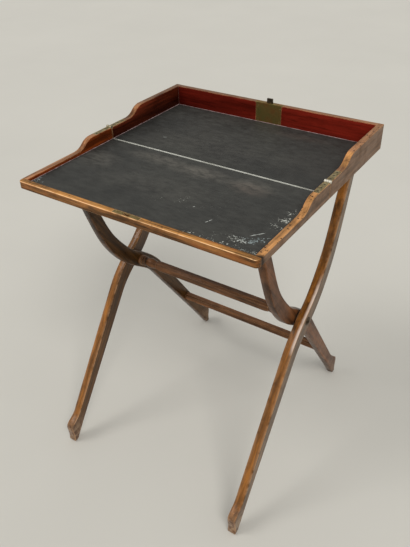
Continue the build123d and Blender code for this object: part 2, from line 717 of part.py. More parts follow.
def ring(x, radius):
    """Washer about the pivot screw."""
    hole = rod((x[0] - REACH, x[1] + REACH), PIVOT_SCREW_RADIUS + FIT, 0, PIVOT_HEIGHT)
    return rod(x, radius, 0, PIVOT_HEIGHT) - hole


def head_washer():
    return ring((OUTER_LEG_FACE, OUTER_LEG_FACE + PIVOT_WASHER), PIVOT_WASHER_RADIUS)


def spacer_washer():
    return ring((OUTER_LEG_INNER - SPACER, OUTER_LEG_INNER), SPACER_RADIUS)


# ---- brackets ----------------------------------------------------------------------------------
def ear_span(outer):
    """The two faces of a bracket's ear along X, that next to the leg first."""
    if outer:
        start = OUTER_LEG_FACE + BRACKET_GAP
        return start, start + BRACKET_PLATE
    start = INNER_LEG_INNER - BRACKET_GAP
    return start, start - BRACKET_PLATE


def top_pin_span(outer):
    """Shank of a top pin along X, from its head to its blind end in the leg."""
    _, head_seat = ear_span(outer)
    end = OUTER_LEG_INNER + TOP_PIN_BLIND if outer else INNER_LEG_FACE - TOP_PIN_BLIND
    return head_seat, end


def bracket_screw_spots(outer):
    """Where the bracket's screws enter the box, pointing up."""
    away = 1 if outer else -1
    x = ear_span(outer)[1] + away * BRACKET_SCREW_INSET
    places = [TOP_PIN_REACH + side * BRACKET_SCREW_SPACING / 2 for side in (-1, 1)]
    return [Pos(x, place, UNDERSIDE - BRACKET_PLATE) * Rot(180, 0, 0) for place in places]


def bracket(outer):
    """Right-hand bracket: a foot screwed under the box and an ear that holds the top pin."""
    near, far = ear_span(outer)
    away = 1 if outer else -1
    foot = block(
        (near, near + away * BRACKET_FOOT),
        (TOP_PIN_REACH - BRACKET_LENGTH / 2, TOP_PIN_REACH + BRACKET_LENGTH / 2),
        (UNDERSIDE - BRACKET_PLATE, UNDERSIDE),
    )
    ear = block(
        (near, far),
        (TOP_PIN_REACH - EAR_RADIUS, TOP_PIN_REACH + EAR_RADIUS),
        (TOP_PIN_HEIGHT, UNDERSIDE),
    )
    ear += rod((near, far), EAR_RADIUS, TOP_PIN_REACH, TOP_PIN_HEIGHT)
    plate = foot + ear
    plate -= rod((near - REACH, far + REACH), TOP_PIN_RADIUS + FIT, TOP_PIN_REACH, TOP_PIN_HEIGHT)
    for spot in bracket_screw_spots(outer):
        plate -= spot * screw_hole(BRACKET_SCREW_LENGTH)
    return on_frame(plate, outer)


def bracket_screws(outer):
    screws = [spot * wood_screw(BRACKET_SCREW_LENGTH) for spot in bracket_screw_spots(outer)]
    return [on_frame(copy, outer) for screw in screws for copy in pair(screw)]


def top_pin(outer):
    seat, end = top_pin_span(outer)
    away = 1 if outer else -1
    pin = rod((seat, end), TOP_PIN_RADIUS, TOP_PIN_REACH, TOP_PIN_HEIGHT)
    pin += rod((seat, seat + away * TOP_PIN_HEAD), TOP_PIN_HEAD_RADIUS, TOP_PIN_REACH, TOP_PIN_HEIGHT)
    return on_frame(pin, outer)


def drilled_for_bracket(shape, outer):
    """A piece of the box with the holes for the screws of both brackets of one frame."""
    for spot in bracket_screw_spots(outer):
        hole = on_frame(spot * screw_hole(BRACKET_SCREW_LENGTH), outer)
        for copy in pair(hole):
            shape -= copy
    return shape


# ---- all pieces --------------------------------------------------------------------------------
def box_pieces():
    rear_side = drilled_for_bracket(side_wall(front=False), outer=True)
    front_side = side_wall(front=True)
    return {
        "rear_board": [drilled_for_bracket(board(front=False), outer=True)],
        "rear_skin": [skin(front=False)],
        "rear_back_wall": [back_wall()],
        "rear_left_side": [left_of(rear_side)],
        "rear_right_side": [rear_side],
        "front_board": [drilled_for_bracket(board(front=True), outer=False)],
        "front_skin": [skin(front=True)],
        "front_rail": [front_rail()],
        "front_left_side": [left_of(front_side)],
        "front_right_side": [front_side],
    }


def hinge_pieces():
    return {
        "rear_left_hinge_strap": [left_of(strap(front=False))],
        "rear_right_hinge_strap": [strap(front=False)],
        "front_left_hinge_strap": [left_of(strap(front=True))],
        "front_right_hinge_strap": [strap(front=True)],
        "hinge_pins": pair(hinge_pin()),
        "rear_hinge_screws": strap_screws(front=False),
        "front_hinge_screws": strap_screws(front=True),
    }


def lock_pieces():
    return {
        "lock_plate": [lock_plate()],
        "lock_case": [lock_case()],
        "lock_bolt": [lock_bolt()],
        "lock_screws": lock_screws(),
        "key_escutcheon": [key_escutcheon()],
        "strike_plate": [strike_plate()],
        "strike_screws": [spot * wood_screw(STRAP_SCREW_LENGTH) for spot in strike_screw_spots()],
    }


def frame_pieces():
    return {
        "outer_left_leg": [left_of(leg(outer=True))],
        "outer_right_leg": [leg(outer=True)],
        "outer_top_rail": [top_rail(outer=True)],
        "inner_left_leg": [left_of(leg(outer=False))],
        "inner_right_leg": [leg(outer=False)],
        "inner_top_rail": [top_rail(outer=False)],
        "pivot_stretcher": [pivot_stretcher()],
        "lower_stretcher": [lower_stretcher()],
        "pivot_screws": pair(pivot_screw()),
        "pivot_head_washers": pair(head_washer()),
        "pivot_spacer_washers": pair(spacer_washer()),
    }


def bracket_pieces():
    return {
        "rear_left_bracket": [left_of(bracket(outer=True))],
        "rear_right_bracket": [bracket(outer=True)],
        "front_left_bracket": [left_of(bracket(outer=False))],
        "front_right_bracket": [bracket(outer=False)],
        "rear_bracket_pins": pair(top_pin(outer=True)),
        "front_bracket_pins": pair(top_pin(outer=False)),
        "rear_bracket_screws": bracket_screws(outer=True),
        "front_bracket_screws": bracket_screws(outer=False),
    }


def solids_of(shapes):
    return [solid for shape in shapes for solid in shape.solids()]


os.makedirs("parts", exist_ok=True)
for group in (box_pieces, hinge_pieces, lock_pieces, frame_pieces, bracket_pieces):
    for name, shapes in group().items():
        solids = solids_of(shapes)
        whole = solids[0] if len(solids) == 1 else Compound(solids)
        export_step(whole, f"parts/{name}.step")
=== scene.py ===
# %% [markdown]
# # Dressing a folding writing table
#
# The object is a travelling writing table about a hundred and fifty years old. A shallow mahogany box
# opens flat to make the writing surface, and two crossed frames carry it. Its working shape exists
# already as an engineering model, so this lesson guesses no size: it loads that model as a fixed frame
# and gives every piece the surface that age and hands gave it. Lengths are in metres, with X to the
# right, Y to the back and Z up from the floor.

import math

import bmesh
import bpy
from mathutils import Matrix, Vector


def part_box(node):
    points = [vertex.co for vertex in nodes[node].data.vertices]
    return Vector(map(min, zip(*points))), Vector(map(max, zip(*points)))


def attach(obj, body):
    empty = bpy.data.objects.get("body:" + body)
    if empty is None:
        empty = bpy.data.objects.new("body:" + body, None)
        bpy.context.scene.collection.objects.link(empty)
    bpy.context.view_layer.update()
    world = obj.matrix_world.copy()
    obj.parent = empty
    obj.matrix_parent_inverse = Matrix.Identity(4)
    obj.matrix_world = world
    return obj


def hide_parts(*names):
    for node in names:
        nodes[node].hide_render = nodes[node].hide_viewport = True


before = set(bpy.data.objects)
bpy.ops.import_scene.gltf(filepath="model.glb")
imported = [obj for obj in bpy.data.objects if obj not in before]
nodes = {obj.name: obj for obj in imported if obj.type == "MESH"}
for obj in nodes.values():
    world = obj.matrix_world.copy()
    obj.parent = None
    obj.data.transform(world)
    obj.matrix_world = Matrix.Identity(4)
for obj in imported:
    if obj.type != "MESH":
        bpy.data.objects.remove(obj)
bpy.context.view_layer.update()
print("nodes in the frame:", len(nodes))

# %% [markdown]
# ## The camera
#
# Furniture is shown from standing height and from one corner, so that the writing surface, the front
# edge and one side all show. A camera is a position and a turn. The turn is built from the three
# directions that the camera needs, so yaw, pitch and roll are easy to change one at a time.

# %% Place the camera
CAMERA_SPOT = Vector((0.6289, -0.9430, 1.2386))
CAMERA_YAW = 0.5991
CAMERA_PITCH = 0.6153
CAMERA_ROLL = -0.0264
LENS = 39.67


def camera_turn(yaw, pitch, roll):
    """The camera's right, up and backward directions as the columns of a matrix."""
    ahead = Vector((-math.sin(yaw) * math.cos(pitch), math.cos(yaw) * math.cos(pitch), -math.sin(pitch)))
    level = Vector((math.cos(yaw), math.sin(yaw), 0))
    upright = level.cross(ahead)
    right = level * math.cos(roll) + upright * math.sin(roll)
    up = upright * math.cos(roll) - level * math.sin(roll)
    return Matrix((right, up, -ahead)).transposed()


camera = bpy.data.objects.new("portrait_camera", bpy.data.cameras.new("portrait_camera"))
camera.data.lens = LENS
camera.matrix_world = Matrix.Translation(CAMERA_SPOT) @ camera_turn(
    CAMERA_YAW, CAMERA_PITCH, CAMERA_ROLL).to_4x4()
bpy.context.scene.collection.objects.link(camera)
bpy.context.scene.camera = camera
print("camera is", round(CAMERA_SPOT.length, 2), "m from the middle of the floor")

# %% [markdown]
# ## Nodes in one line
#
# Materials, the world and the modelling trees of Blender are all graphs of nodes. Written out in full,
# each node takes several lines. A `Graph` makes a node, sets its properties and fills its inputs in
# one call: an input takes either a value or the output of another node.

# %% A helper for every kind of node tree


def put(socket, value):
    """Links an output to a socket, or writes a constant there. A colour gets its fourth number."""
    if isinstance(value, bpy.types.NodeSocket):
        socket.id_data.links.new(value, socket)
    else:
        socket.default_value = (*value, 1) if socket.type == "RGBA" else value


class Graph:
    """A node tree, emptied, to which one call adds one node."""

    def __init__(self, tree):
        self.tree = tree
        tree.nodes.clear()

    def add(self, kind, inputs=(), **settings):
        """A new node with its properties set and its inputs filled, by name or by place."""
        node = self.tree.nodes.new(kind)
        for name, value in settings.items():
            setattr(node, name, value)
        for key, value in dict(inputs).items():
            put(node.inputs[key], value)
        return node

    def maths(self, operation, *values):
        return self.add("ShaderNodeMath", dict(enumerate(values)), operation=operation).outputs[0]

    def times(self, *values):
        """The product of all the values."""
        product = values[0]
        for value in values[1:]:
            product = self.maths("MULTIPLY", product, value)
        return product


print("one node is one call from here on")

# %% [markdown]
# ## Mixing a finish
#
# A finish is a material that grows from the place of a point on its object, so it stays where it is
# when a piece moves. Each method hands back the output of the node it adds, and the finishes further
# down then read almost like a recipe: a noise, a colour ramp, a mix.

# %% A helper for finishes
NEAR_EDGE = (0.995, 0.80)     # agreement of the softened and the true normal, from flat to edge


class Finish(Graph):
    """A material being mixed."""

    def __init__(self, name):
        self.material = bpy.data.materials.new(name)
        self.material.use_nodes = True
        super().__init__(self.material.node_tree)
        self.shader = self.add("ShaderNodeBsdfPrincipled")
        self.add("ShaderNodeOutputMaterial", {0: self.shader.outputs[0]})
        where = self.add("ShaderNodeTexCoord")
        self.place, self.normal = where.outputs["Object"], where.outputs["Normal"]

    def vector(self, operation, *values):
        return self.add("ShaderNodeVectorMath", dict(enumerate(values)), operation=operation).outputs["Value"]

    def shade(self, **values):
        """Fills sockets of the shader: base_color is its Base Color, and so on."""
        for name, value in values.items():
            put(self.shader.inputs[name.replace("_", " ").title().replace("Ior", "IOR")], value)

    def measured(self, units, centre=(0, 0, 0), turn=(0, 0, 0)):
        """Object coordinates counted from a centre, in a unit for each axis, and turned."""
        return self.add("ShaderNodeMapping", {"Vector": self.place, "Location": centre, "Rotation": turn,
                        "Scale": units}, vector_type="TEXTURE").outputs[0]

    def attribute(self, name):
        """A number that the mesh carries at each of its points."""
        return self.add("ShaderNodeAttribute", attribute_name=name).outputs["Fac"]

    def noise(self, scale=1.0, detail=4.0, roughness=0.6, distortion=0.0, place=None):
        return self.add("ShaderNodeTexNoise", {
            "Vector": place or self.place, "Scale": scale, "Detail": detail, "Roughness": roughness,
            "Distortion": distortion}).outputs["Fac"]

    def cells(self, scale):
        return self.add("ShaderNodeTexVoronoi", {"Vector": self.place, "Scale": scale}).outputs["Distance"]

    def between(self, value, low, high, to_low=0.0, to_high=1.0):
        """The value, spread so that low becomes to_low and high becomes to_high."""
        return self.add("ShaderNodeMapRange", {"Value": value, "From Min": low, "From Max": high,
                                               "To Min": to_low, "To Max": to_high}).outputs[0]

    def ramp(self, value, *stops):
        """A colour ramp with stops given as (position, colour)."""
        node = self.add("ShaderNodeValToRGB", {0: value})
        elements = node.color_ramp.elements
        while len(elements) < len(stops):
            elements.new(0.5)
        for element, (position, colour) in zip(elements, stops):
            element.position = position
            element.color = (*colour, 1)
        return node.outputs[0]

    def mix(self, share, first, second, blend="MIX"):
        return self.add("ShaderNodeMix", {0: share, 6: first, 7: second}, data_type="RGBA",
                        blend_type=blend).outputs[2]

    def over(self, colour, tone, *shares):
        """The colour with a tone laid over it, as strong as the product of the shares."""
        return self.mix(self.times(*shares), colour, tone)

    def dimmed(self, colour, share):
        """The colour times a number."""
        grey = self.add("ShaderNodeCombineXYZ", dict.fromkeys(range(3), share)).outputs[0]
        return self.mix(1.0, colour, grey, blend="MULTIPLY")

    def coordinate(self, axis):
        """The object's own X, Y or Z at a point."""
        return self.add("ShaderNodeSeparateXYZ", {0: self.place}).outputs[axis]

    def apart(self, axis, at):
        """How far a point is from a place on an axis."""
        return self.maths("ABSOLUTE", self.maths("SUBTRACT", self.coordinate(axis), at))

    def facing(self, direction, low=0.35, high=0.75):
        """1 on faces that look along a direction of the object, 0 on the others."""
        return self.between(self.vector("DOT_PRODUCT", self.normal, direction), low, high)

    def rounded(self, radius):
        """A normal that turns over the edges, and how close a point is to an edge, from 0 to 1."""
        soft = self.add("ShaderNodeBevel", {"Radius": radius}, samples=8).outputs[0]
        true = self.add("ShaderNodeNewGeometry").outputs["True Normal"]
        return soft, self.between(self.vector("DOT_PRODUCT", soft, true), *NEAR_EDGE)

    def bump(self, height, strength, distance, **normal):
        return self.add("ShaderNodeBump", {"Height": height, "Strength": strength, "Distance": distance,
                                           **normal}).outputs[0]


print("a finish is mixed from object coordinates, so it stays where it is when a piece moves")

# %% [markdown]
# ## Making, editing and showing meshes
#
# Most pieces are edited as a bmesh, which knows its edges and neighbours, and then frozen into a plain
# mesh. These few steps come back for every piece, so they get names here.

# %% Helpers for meshes
SAME_POINT = 1e-6


def edited(mesh):
    """A bmesh of a mesh, with its doubled points merged."""
    shell = bmesh.new()
    shell.from_mesh(mesh)
    bmesh.ops.remove_doubles(shell, verts=shell.verts, dist=SAME_POINT)
    return shell


def frozen(shell, name, *materials):
    """An edited shape as a plain mesh with a name."""
    mesh = bpy.data.meshes.new(name)
    shell.to_mesh(mesh)
    shell.free()
    for material in materials:
        mesh.materials.append(material)
    return mesh


def show(name, thing):
    """Puts a mesh or a lamp into the scene."""
    piece = bpy.data.objects.new(name, thing)
    bpy.context.scene.collection.objects.link(piece)
    return piece


def smooth_where(mesh, test):
    for face in mesh.polygons:
        face.use_smooth = test(face)


def paint(material, *names):
    """Gives nodes of the frame a material through their material slots."""
    for name in names:
        mesh = nodes[name].data
        mesh.materials.clear()
        mesh.materials.append(material)


print("points closer than", SAME_POINT, "m count as one")

# %% [markdown]
# ## Floor and light
#
# A studio has large soft lamps on both sides of the camera, and its pale room fills the shadows. A
# softbox that stands far away is the same as a sun lamp with a wide angle, which also lights the
# whole floor evenly. The world shows its colour to the camera and to reflections, while a dimmer,
# neutral light reaches the object. The lamps and that light add up to a level of about one, so each
# colour renders about as it is written.

# %% Lay the floor and hang the lights
FLOOR_COLOUR = (0.615, 0.588, 0.525)
BACKDROP = (0.527, 0.520, 0.491)
FILL = (0.97, 0.99, 1.0)
FILL_STRENGTH = 0.56
FLOOR_SIZE = 14.0
SOFTNESS = math.radians(24)
LAMP_DISTANCE = 4


def floor_sheet():
    finish = Finish("studio_floor")
    cloud = finish.between(finish.noise(1.3, 3.0, 0.55), 0.3, 0.7)
    colour = finish.mix(cloud, *([c * level for c in FLOOR_COLOUR] for level in (0.98, 1.02)))
    finish.shade(base_color=colour, roughness=0.9, specular_ior_level=0.1)
    half = FLOOR_SIZE / 2
    corners = [(-half, -half, 0), (half, -half, 0), (half, half, 0), (-half, half, 0)]
    mesh = bpy.data.meshes.new("studio_floor")
    mesh.from_pydata(corners, [], [(0, 1, 2, 3)])
    mesh.materials.append(finish.material)
    return show("studio_floor", mesh)


def studio_world():
    world = bpy.data.worlds.new("studio")
    world.use_nodes = True
    graph = Graph(world.node_tree)
    ray = graph.add("ShaderNodeLightPath").outputs
    mirrored = graph.maths("MAXIMUM", ray["Is Glossy Ray"], ray["Is Transmission Ray"])
    seen = graph.maths("MAXIMUM", ray["Is Camera Ray"], mirrored)
    fill = graph.add("ShaderNodeBackground", {"Color": FILL, "Strength": FILL_STRENGTH})
    shown = graph.add("ShaderNodeBackground", {"Color": BACKDROP})
    choose = graph.add("ShaderNodeMixShader", {0: seen, 1: fill.outputs[0], 2: shown.outputs[0]})
    graph.add("ShaderNodeOutputWorld", {0: choose.outputs[0]})
    return world


def softbox(name, towards, strength):
    """A lamp far away in the given direction from the table."""
    light = bpy.data.lights.new(name, "SUN")
    light.angle = SOFTNESS
    light.energy = strength
    lamp = show(name, light)
    lamp.location = Vector(towards).normalized() * LAMP_DISTANCE
    lamp.rotation_mode = "QUATERNION"
    lamp.rotation_quaternion = Vector(towards).to_track_quat("Z", "Y")


floor_sheet()
bpy.context.scene.world = studio_world()
softbox("right_softbox", (0.32, -0.25, 0.44), 1.10)
softbox("left_softbox", (-0.30, -0.28, 0.46), 0.75)
bpy.context.scene.view_settings.view_transform = "Standard"

# %% [markdown]
# ## Mahogany
#
# Mahogany is a straight-grained, reddish wood with short dark pores. On old furniture its colour
# depends on where a face looks: tops are bleached to orange, outsides have gone greyish brown under
# worn polish, and insides that were shut away keep their deep red French polish. The grain is grown
# from noise that is stretched along the plank: a broad figure, dark streaks and fine pores. Noise
# never repeats or runs out at an edge, as an image would. Three tones, dark, middle and light, belong
# to each direction that a face can look in.

# %% The grain of a plank
GRAIN = {"x": (1, 14, 14), "y": (14, 1, 14), "z": (14, 14, 1)}
FIGURE_SCALE = 3.2
STREAK_SCALE = 7.5
PORE_SCALE = 22


def plank_pattern(finish, along, seed, lean):
    """Three patterns for a plank, all from 0 to 1: its broad figure, its streaks and its pores."""
    places = [finish.measured([1 / (fineness * s) for s in GRAIN[along]], seed, (lean, 0, 0))
              for fineness in (FIGURE_SCALE, STREAK_SCALE, PORE_SCALE)]
    figure = finish.noise(1.0, 7.0, 0.62, 0.5, places[0])
    streaks = finish.noise(1.0, 5.0, 0.68, 0.3, places[1])
    pores = finish.noise(1.0, 3.0, 0.7, place=places[2])
    return figure, streaks, pores


def toned(finish, figure, tones):
    dark, middle, light = tones
    return finish.ramp(figure, (0.34, dark), (0.50, middle), (0.66, light))


def tones(middle, spread=0.35):
    """Dark, middle and light tones about a middle colour."""
    return [c * (1 - spread) for c in middle], list(middle), [min(1, c * (1 + spread)) for c in middle]


print("grain runs", max(GRAIN["x"]), "times longer than it is wide")

# %% [markdown]
# ## What wear adds
#
# Handling rubs the arrises pale, and the Bevel node finds them: where its softened normal leaves the
# true one, an edge is near. Dark pits and ink spots lie where hands and pens were. Broad blotches
# change the tone and the gloss together, because worn polish is both duller and darker with dirt.

# %% The wood of the box and of the frames
UP, DOWN, FRONT, BACK, LEFT, RIGHT = (0, 0, 1), (0, 0, -1), (0, -1, 0), (0, 1, 0), (-1, 0, 0), (1, 0, 0)
ALL = None
INK = (0.030, 0.012, 0.006)


def mahogany(name, along, zones, worn, edge=0.0022, seed=(0, 0, 0), rough=(0.36, 0.60), pits=0.0,
             specular=0.22, gleam=(1.0, 0.86, 0.72), dirt=(), streaky=0.55, blotchy=0.30,
             rub=(0.66, 0.40), lean=0.0, wax=0.0, ridge=None, seams_and_painted_light=()):
    """Old mahogany. zones gives the tones of the faces that look along each direction, first for all.

    Under the worn edges lie layers of stains, scuffs, painted shade and painted highlights, and over them joint
    lines, a painted shadow line and painted highlight streaks, each as (function, its arguments)."""
    finish = Finish(name)
    figure, streaks, pores = plank_pattern(finish, along, seed, lean)
    blotch = finish.noise(34.0, 5.0, 0.62)
    colour = toned(finish, figure, zones[0][1])
    for direction, own, *span in zones[1:]:
        colour = finish.mix(finish.facing(direction, *span), colour, toned(finish, figure, own))
    colour = finish.dimmed(colour, finish.times(
        finish.between(streaks, 0.40, 0.60, 1 - streaky, 1 + streaky / 3),
        finish.between(blotch, 0.48, 0.70, 1.0, 1 - blotchy), finish.between(pores, 0.56, 0.70, 1.0, 0.55)))
    for layer, *given in dirt:
        colour = layer(finish, colour, *given)
    normal, edge_share = finish.rounded(edge)
    edge_share = finish.maths("MAXIMUM", edge_share, finish.attribute("arris"))
    colour = finish.over(colour, worn, edge_share, finish.between(blotch, *rub))
    # Faces that look along ridge are paled as well, partly by wear and partly as a painted highlight.
    if ridge is not None:
        colour = finish.over(colour, worn, finish.facing(ridge, 0.82, 0.96),
                             finish.between(blotch, 0.62, 0.46, 0.35, 1.0))
    for layer, *given in seams_and_painted_light:
        colour = layer(finish, colour, *given)
    if pits:
        where = finish.noise(45.0, 2.0, 0.55)
        colour = finish.over(colour, INK, finish.between(finish.cells(150.0), 0.36, 0.20),
                             finish.between(where, 0.46, 0.52), finish.facing(UP), pits)
    height = finish.maths("ADD", pores, finish.times(streaks, 0.5))
    finish.shade(base_color=colour, roughness=finish.between(blotch, 0.3, 0.7, *rough),
                 specular_ior_level=specular, specular_tint=gleam, coat_weight=wax, coat_roughness=0.22,
                 normal=finish.bump(height, 0.25, 0.0004, Normal=normal))
    return finish.material


print("the wood takes its tones by direction, such as UP", UP)

# %% [markdown]
# ## The walls of the box
#
# The walls share one wood but not one colour. The rim is bleached and the outside is dull, and the inside is a
# deep glossy red. Painted shade darkens the back and rear left walls towards their corners and bottoms, and the
# rail towards its bottom and its back edge, where a painted shadow line runs along the cloth. A forward-facing
# slope of the rear right wall is brightened as a painted highlight. Each wall gets its own seed, so no two have
# the same figure.

# %% Dress the walls
HIGHLIGHTED_SLOPE = (0, -0.6, 0.8)
FRONT_RIDGE = (0, -0.707, 0.707)
BLEACHED = tones((0.53, 0.235, 0.055), 0.40)
RIM = tones((0.34, 0.155, 0.068), 0.36)
GOLDEN = tones((0.55, 0.255, 0.085), 0.38)
DULL = tones((0.200, 0.112, 0.064), 0.20)
RAIL_FACE = tones((0.300, 0.126, 0.036), 0.34)
RED_POLISH = tones((0.262, 0.0205, 0.0105), 0.32)
LEFT_POLISH = tones((0.200, 0.0330, 0.0120), 0.34)
LEFT_FRONT_POLISH = tones((0.215, 0.040, 0.0065), 0.42)
UNDER = tones((0.16, 0.085, 0.045), 0.3)
WORN_ARRIS = (0.80, 0.43, 0.19)
RAIL_ARRIS = (1.0, 0.60, 0.30)
RED_GLEAM = (1.0, 0.20, 0.09)
SOOT, RUST, BLACKENED = (0.012, 0.007, 0.004), (0.40, 0.125, 0.030), (0.085, 0.038, 0.014)
MAUVE_GLUE, RAIL_SHADOW_LINE = (0.34, 0.17, 0.16), (0.035, 0.018, 0.009)
BACK_SHADE, LEFT_SHADE = (0.710, 0.745), (0.728, 0.752)     # heights, from the darkest painted shade to none
OPENING = ("X", 0.2555, 0.2620)      # the joint gapes towards the outer face


def painted_shade_towards(finish, colour, axis, dark_at, unshaded_at, darkest):
    """Painted shade: the colour darkened from darkest at one place on an axis to none at another."""
    return finish.dimmed(colour, finish.between(finish.coordinate(axis), dark_at, unshaded_at, darkest, 1.0))


def joint_line(finish, colour, axis, at, half, tone, fade=None):
    """A thin line of another tone where two walls meet. It can die away along one more axis."""
    shares = [finish.between(finish.apart(axis, at), half, half * 0.5, 0.0, 0.8)]
    if fade is not None:
        shares.append(finish.between(finish.coordinate(fade[0]), *fade[1:]))
    return finish.over(colour, tone, *shares)


def stained(finish, colour):
    """Long rusty and blackened patches, as hands leave on a rail."""
    patches = finish.noise(roughness=0.65, place=finish.measured((0.045, 0.009, 0.009)))
    colour = finish.over(colour, RUST, finish.between(patches, 0.52, 0.64, 0.0, 0.55))
    return finish.over(colour, BLACKENED, finish.between(patches, 0.44, 0.32, 0.0, 0.60))


def wall_wood(name, inside, polish, seed, **more):
    return mahogany(name, "x" if inside == FRONT else "y", [(ALL, DULL), (UP, RIM), (inside, polish)],
                    WORN_ARRIS, seed=seed, rough=(0.22, 0.42), gleam=RED_GLEAM, **more)


rail_low, rail_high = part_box("front_rail")
RAIL_MIDDLE = (rail_low.z + rail_high.z) / 2
# Painted shade darkens the back wall towards its left end and towards its bottom.
paint(wall_wood("back_wall_mahogany", FRONT, RED_POLISH, (3, 0, 0), streaky=0.28, blotchy=0.15,
                dirt=[(painted_shade_towards, "X", -0.26, 0.24, 0.44), (painted_shade_towards, "Z", *BACK_SHADE, 0.62),
                      (joint_line, "X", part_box("rear_left_side")[1].x, 0.0011, MAUVE_GLUE)]),
      "rear_back_wall")
# Painted shade darkens the rear left wall towards the rear corner and towards its bottom.
paint(wall_wood("rear_left_mahogany", RIGHT, LEFT_POLISH, (5, 1, 0),
                dirt=[(painted_shade_towards, "Y", 0.25, 0.05, 0.62), (painted_shade_towards, "Z", *LEFT_SHADE, 0.22)]),
      "rear_left_side")
paint(wall_wood("front_left_mahogany", RIGHT, LEFT_FRONT_POLISH, (7, 2, 0)), "front_left_side")
# The slope of the rear right wall that faces front and up takes the GOLDEN tones as a painted highlight.
paint(mahogany("rear_right_mahogany", "y", [(ALL, DULL), (UP, RIM), (HIGHLIGHTED_SLOPE, GOLDEN, 0.88, 0.95),
                                            (LEFT, RED_POLISH)], WORN_ARRIS,
               seed=(9, 3, 0), pits=0.8, blotchy=0.15, streaky=0.32), "rear_right_side")
paint(mahogany("front_right_mahogany", "y", [(ALL, DULL), (UP, GOLDEN), (LEFT, RED_POLISH)], WORN_ARRIS,
               seed=(9, 8, 0), pits=1.0, blotchy=0.40, streaky=0.45,
               seams_and_painted_light=[(joint_line, "Y", rail_high.y, 0.0028, SOOT),
                      (joint_line, "Y", rail_high.y, 0.0080, SOOT, OPENING)]),
      "front_right_side")
# On the rail, painted shade darkens its bottom and its back edge. Its forward-facing arris is paled, partly by
# wear and partly as a painted highlight.
paint(mahogany("front_rail_mahogany", "x", [(ALL, RAIL_FACE), (UP, BLEACHED), (BACK, RED_POLISH)],
               RAIL_ARRIS, edge=0.0016, seed=(11, 4, 0), pits=0.6, rub=(0.95, 0.60), streaky=0.75,
               ridge=FRONT_RIDGE, dirt=[(stained,), (painted_shade_towards, "Z", rail_low.z, RAIL_MIDDLE, 0.45),
                                        (painted_shade_towards, "Y", rail_high.y, rail_high.y - 0.0035, 0.40)],
               # A painted shadow line runs along the back edge of the rail top, where it meets the cloth.
               seams_and_painted_light=[(joint_line, "Y", rail_high.y, 0.0018, RAIL_SHADOW_LINE),
                      (joint_line, "Y", rail_high.y, 0.0035, SOOT, OPENING)]), "front_rail")
paint(mahogany("board_mahogany", "x", [(ALL, UNDER)], (0.30, 0.17, 0.08), seed=(1, 6, 0)),
      "rear_board", "front_board")
print("walls dressed")

# %% [markdown]
# ## The crossed frames
#
# The grain runs up each leg, and the arrises were rubbed pale by carrying. A leg has not faded evenly: its front
# is warm and streaky under a shiny polish, and its outer side has gone dull. The sides that face the other legs
# are painted dark as shade, the top of the outer left leg carries the painted shadow of the box, and the front of
# the outer right leg has two painted highlight streaks. The toes are scuffed where they have been dragged.

# %% Dress the legs and rails
WARM_FRONT = tones((0.290, 0.106, 0.017), 0.36)
DUSKY_FRONT = tones((0.112, 0.044, 0.015), 0.32)
DARK_BROWN_FRONT = tones((0.070, 0.032, 0.015), 0.32)
BROWN_SIDE = tones((0.120, 0.050, 0.013), 0.32)
PALE_SIDE = tones((0.150, 0.076, 0.030), 0.30)
RUSSET_SIDE = tones((0.150, 0.056, 0.019), 0.32)
DARK_SIDE = tones((0.098, 0.042, 0.0100), 0.38)
BAR = tones((0.185, 0.074, 0.026), 0.38)
SHADED = tones((0.090, 0.036, 0.014), 0.36)
PALE_ARRIS = (0.50, 0.28, 0.14)
DARK_ARRIS = (0.22, 0.105, 0.055)
SCUFF_HEIGHTS = (0.075, 0.045)
DENT, SCUFF, BARE = (0.075, 0.030, 0.014), (0.200, 0.112, 0.062), (0.330, 0.225, 0.140)
GLINT = (0.80, 0.64, 0.53)
GLINTS = ((0.438, 0.050), (0.386, 0.028))     # height of each one and how far it reaches
LEAN = math.radians(36)


def scuffed_toe(finish, colour, most):
    """Bare, dented wood over the last few centimetres above the floor."""
    dents = finish.noise(110.0, roughness=0.7)
    scuffs = finish.ramp(dents, (0.38, DENT), (0.50, SCUFF), (0.60, BARE))
    reach = finish.maths("ADD", finish.coordinate("Z"), finish.between(dents, 0.3, 0.7, -0.02, 0.02))
    return finish.over(colour, scuffs, finish.between(reach, *SCUFF_HEIGHTS, 0.0, most))


def glint(finish, colour, leg, height, reach):
    """A painted highlight streak down the front right arris of a leg, about one height."""
    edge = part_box(leg)[1].x
    return finish.over(colour, GLINT,
                       finish.between(finish.apart("Z", height), reach, reach * 0.4, 0.0, 0.75),
                       finish.between(finish.coordinate("X"), edge - 0.0075, edge - 0.0035),
                       finish.facing(FRONT, 0.35, 0.60))


def leg_wood(leg, front, right, seed, wax=0.25, more=(), seams_and_painted_light=()):
    outer = leg.startswith("outer")
    return mahogany(leg + "_mahogany", "z", [(ALL, front), (RIGHT, right), (LEFT, BROWN_SIDE)],
                    PALE_ARRIS if outer else DARK_ARRIS, edge=0.002, seed=seed, rough=(0.26, 0.46),
                    specular=0.12 + 0.7 * wax, blotchy=0.25, dirt=[(scuffed_toe, 0.25 + 2.4 * wax), *more],
                    lean=-LEAN if outer else LEAN, wax=wax, rub=(0.60, 0.45), seams_and_painted_light=seams_and_painted_light)


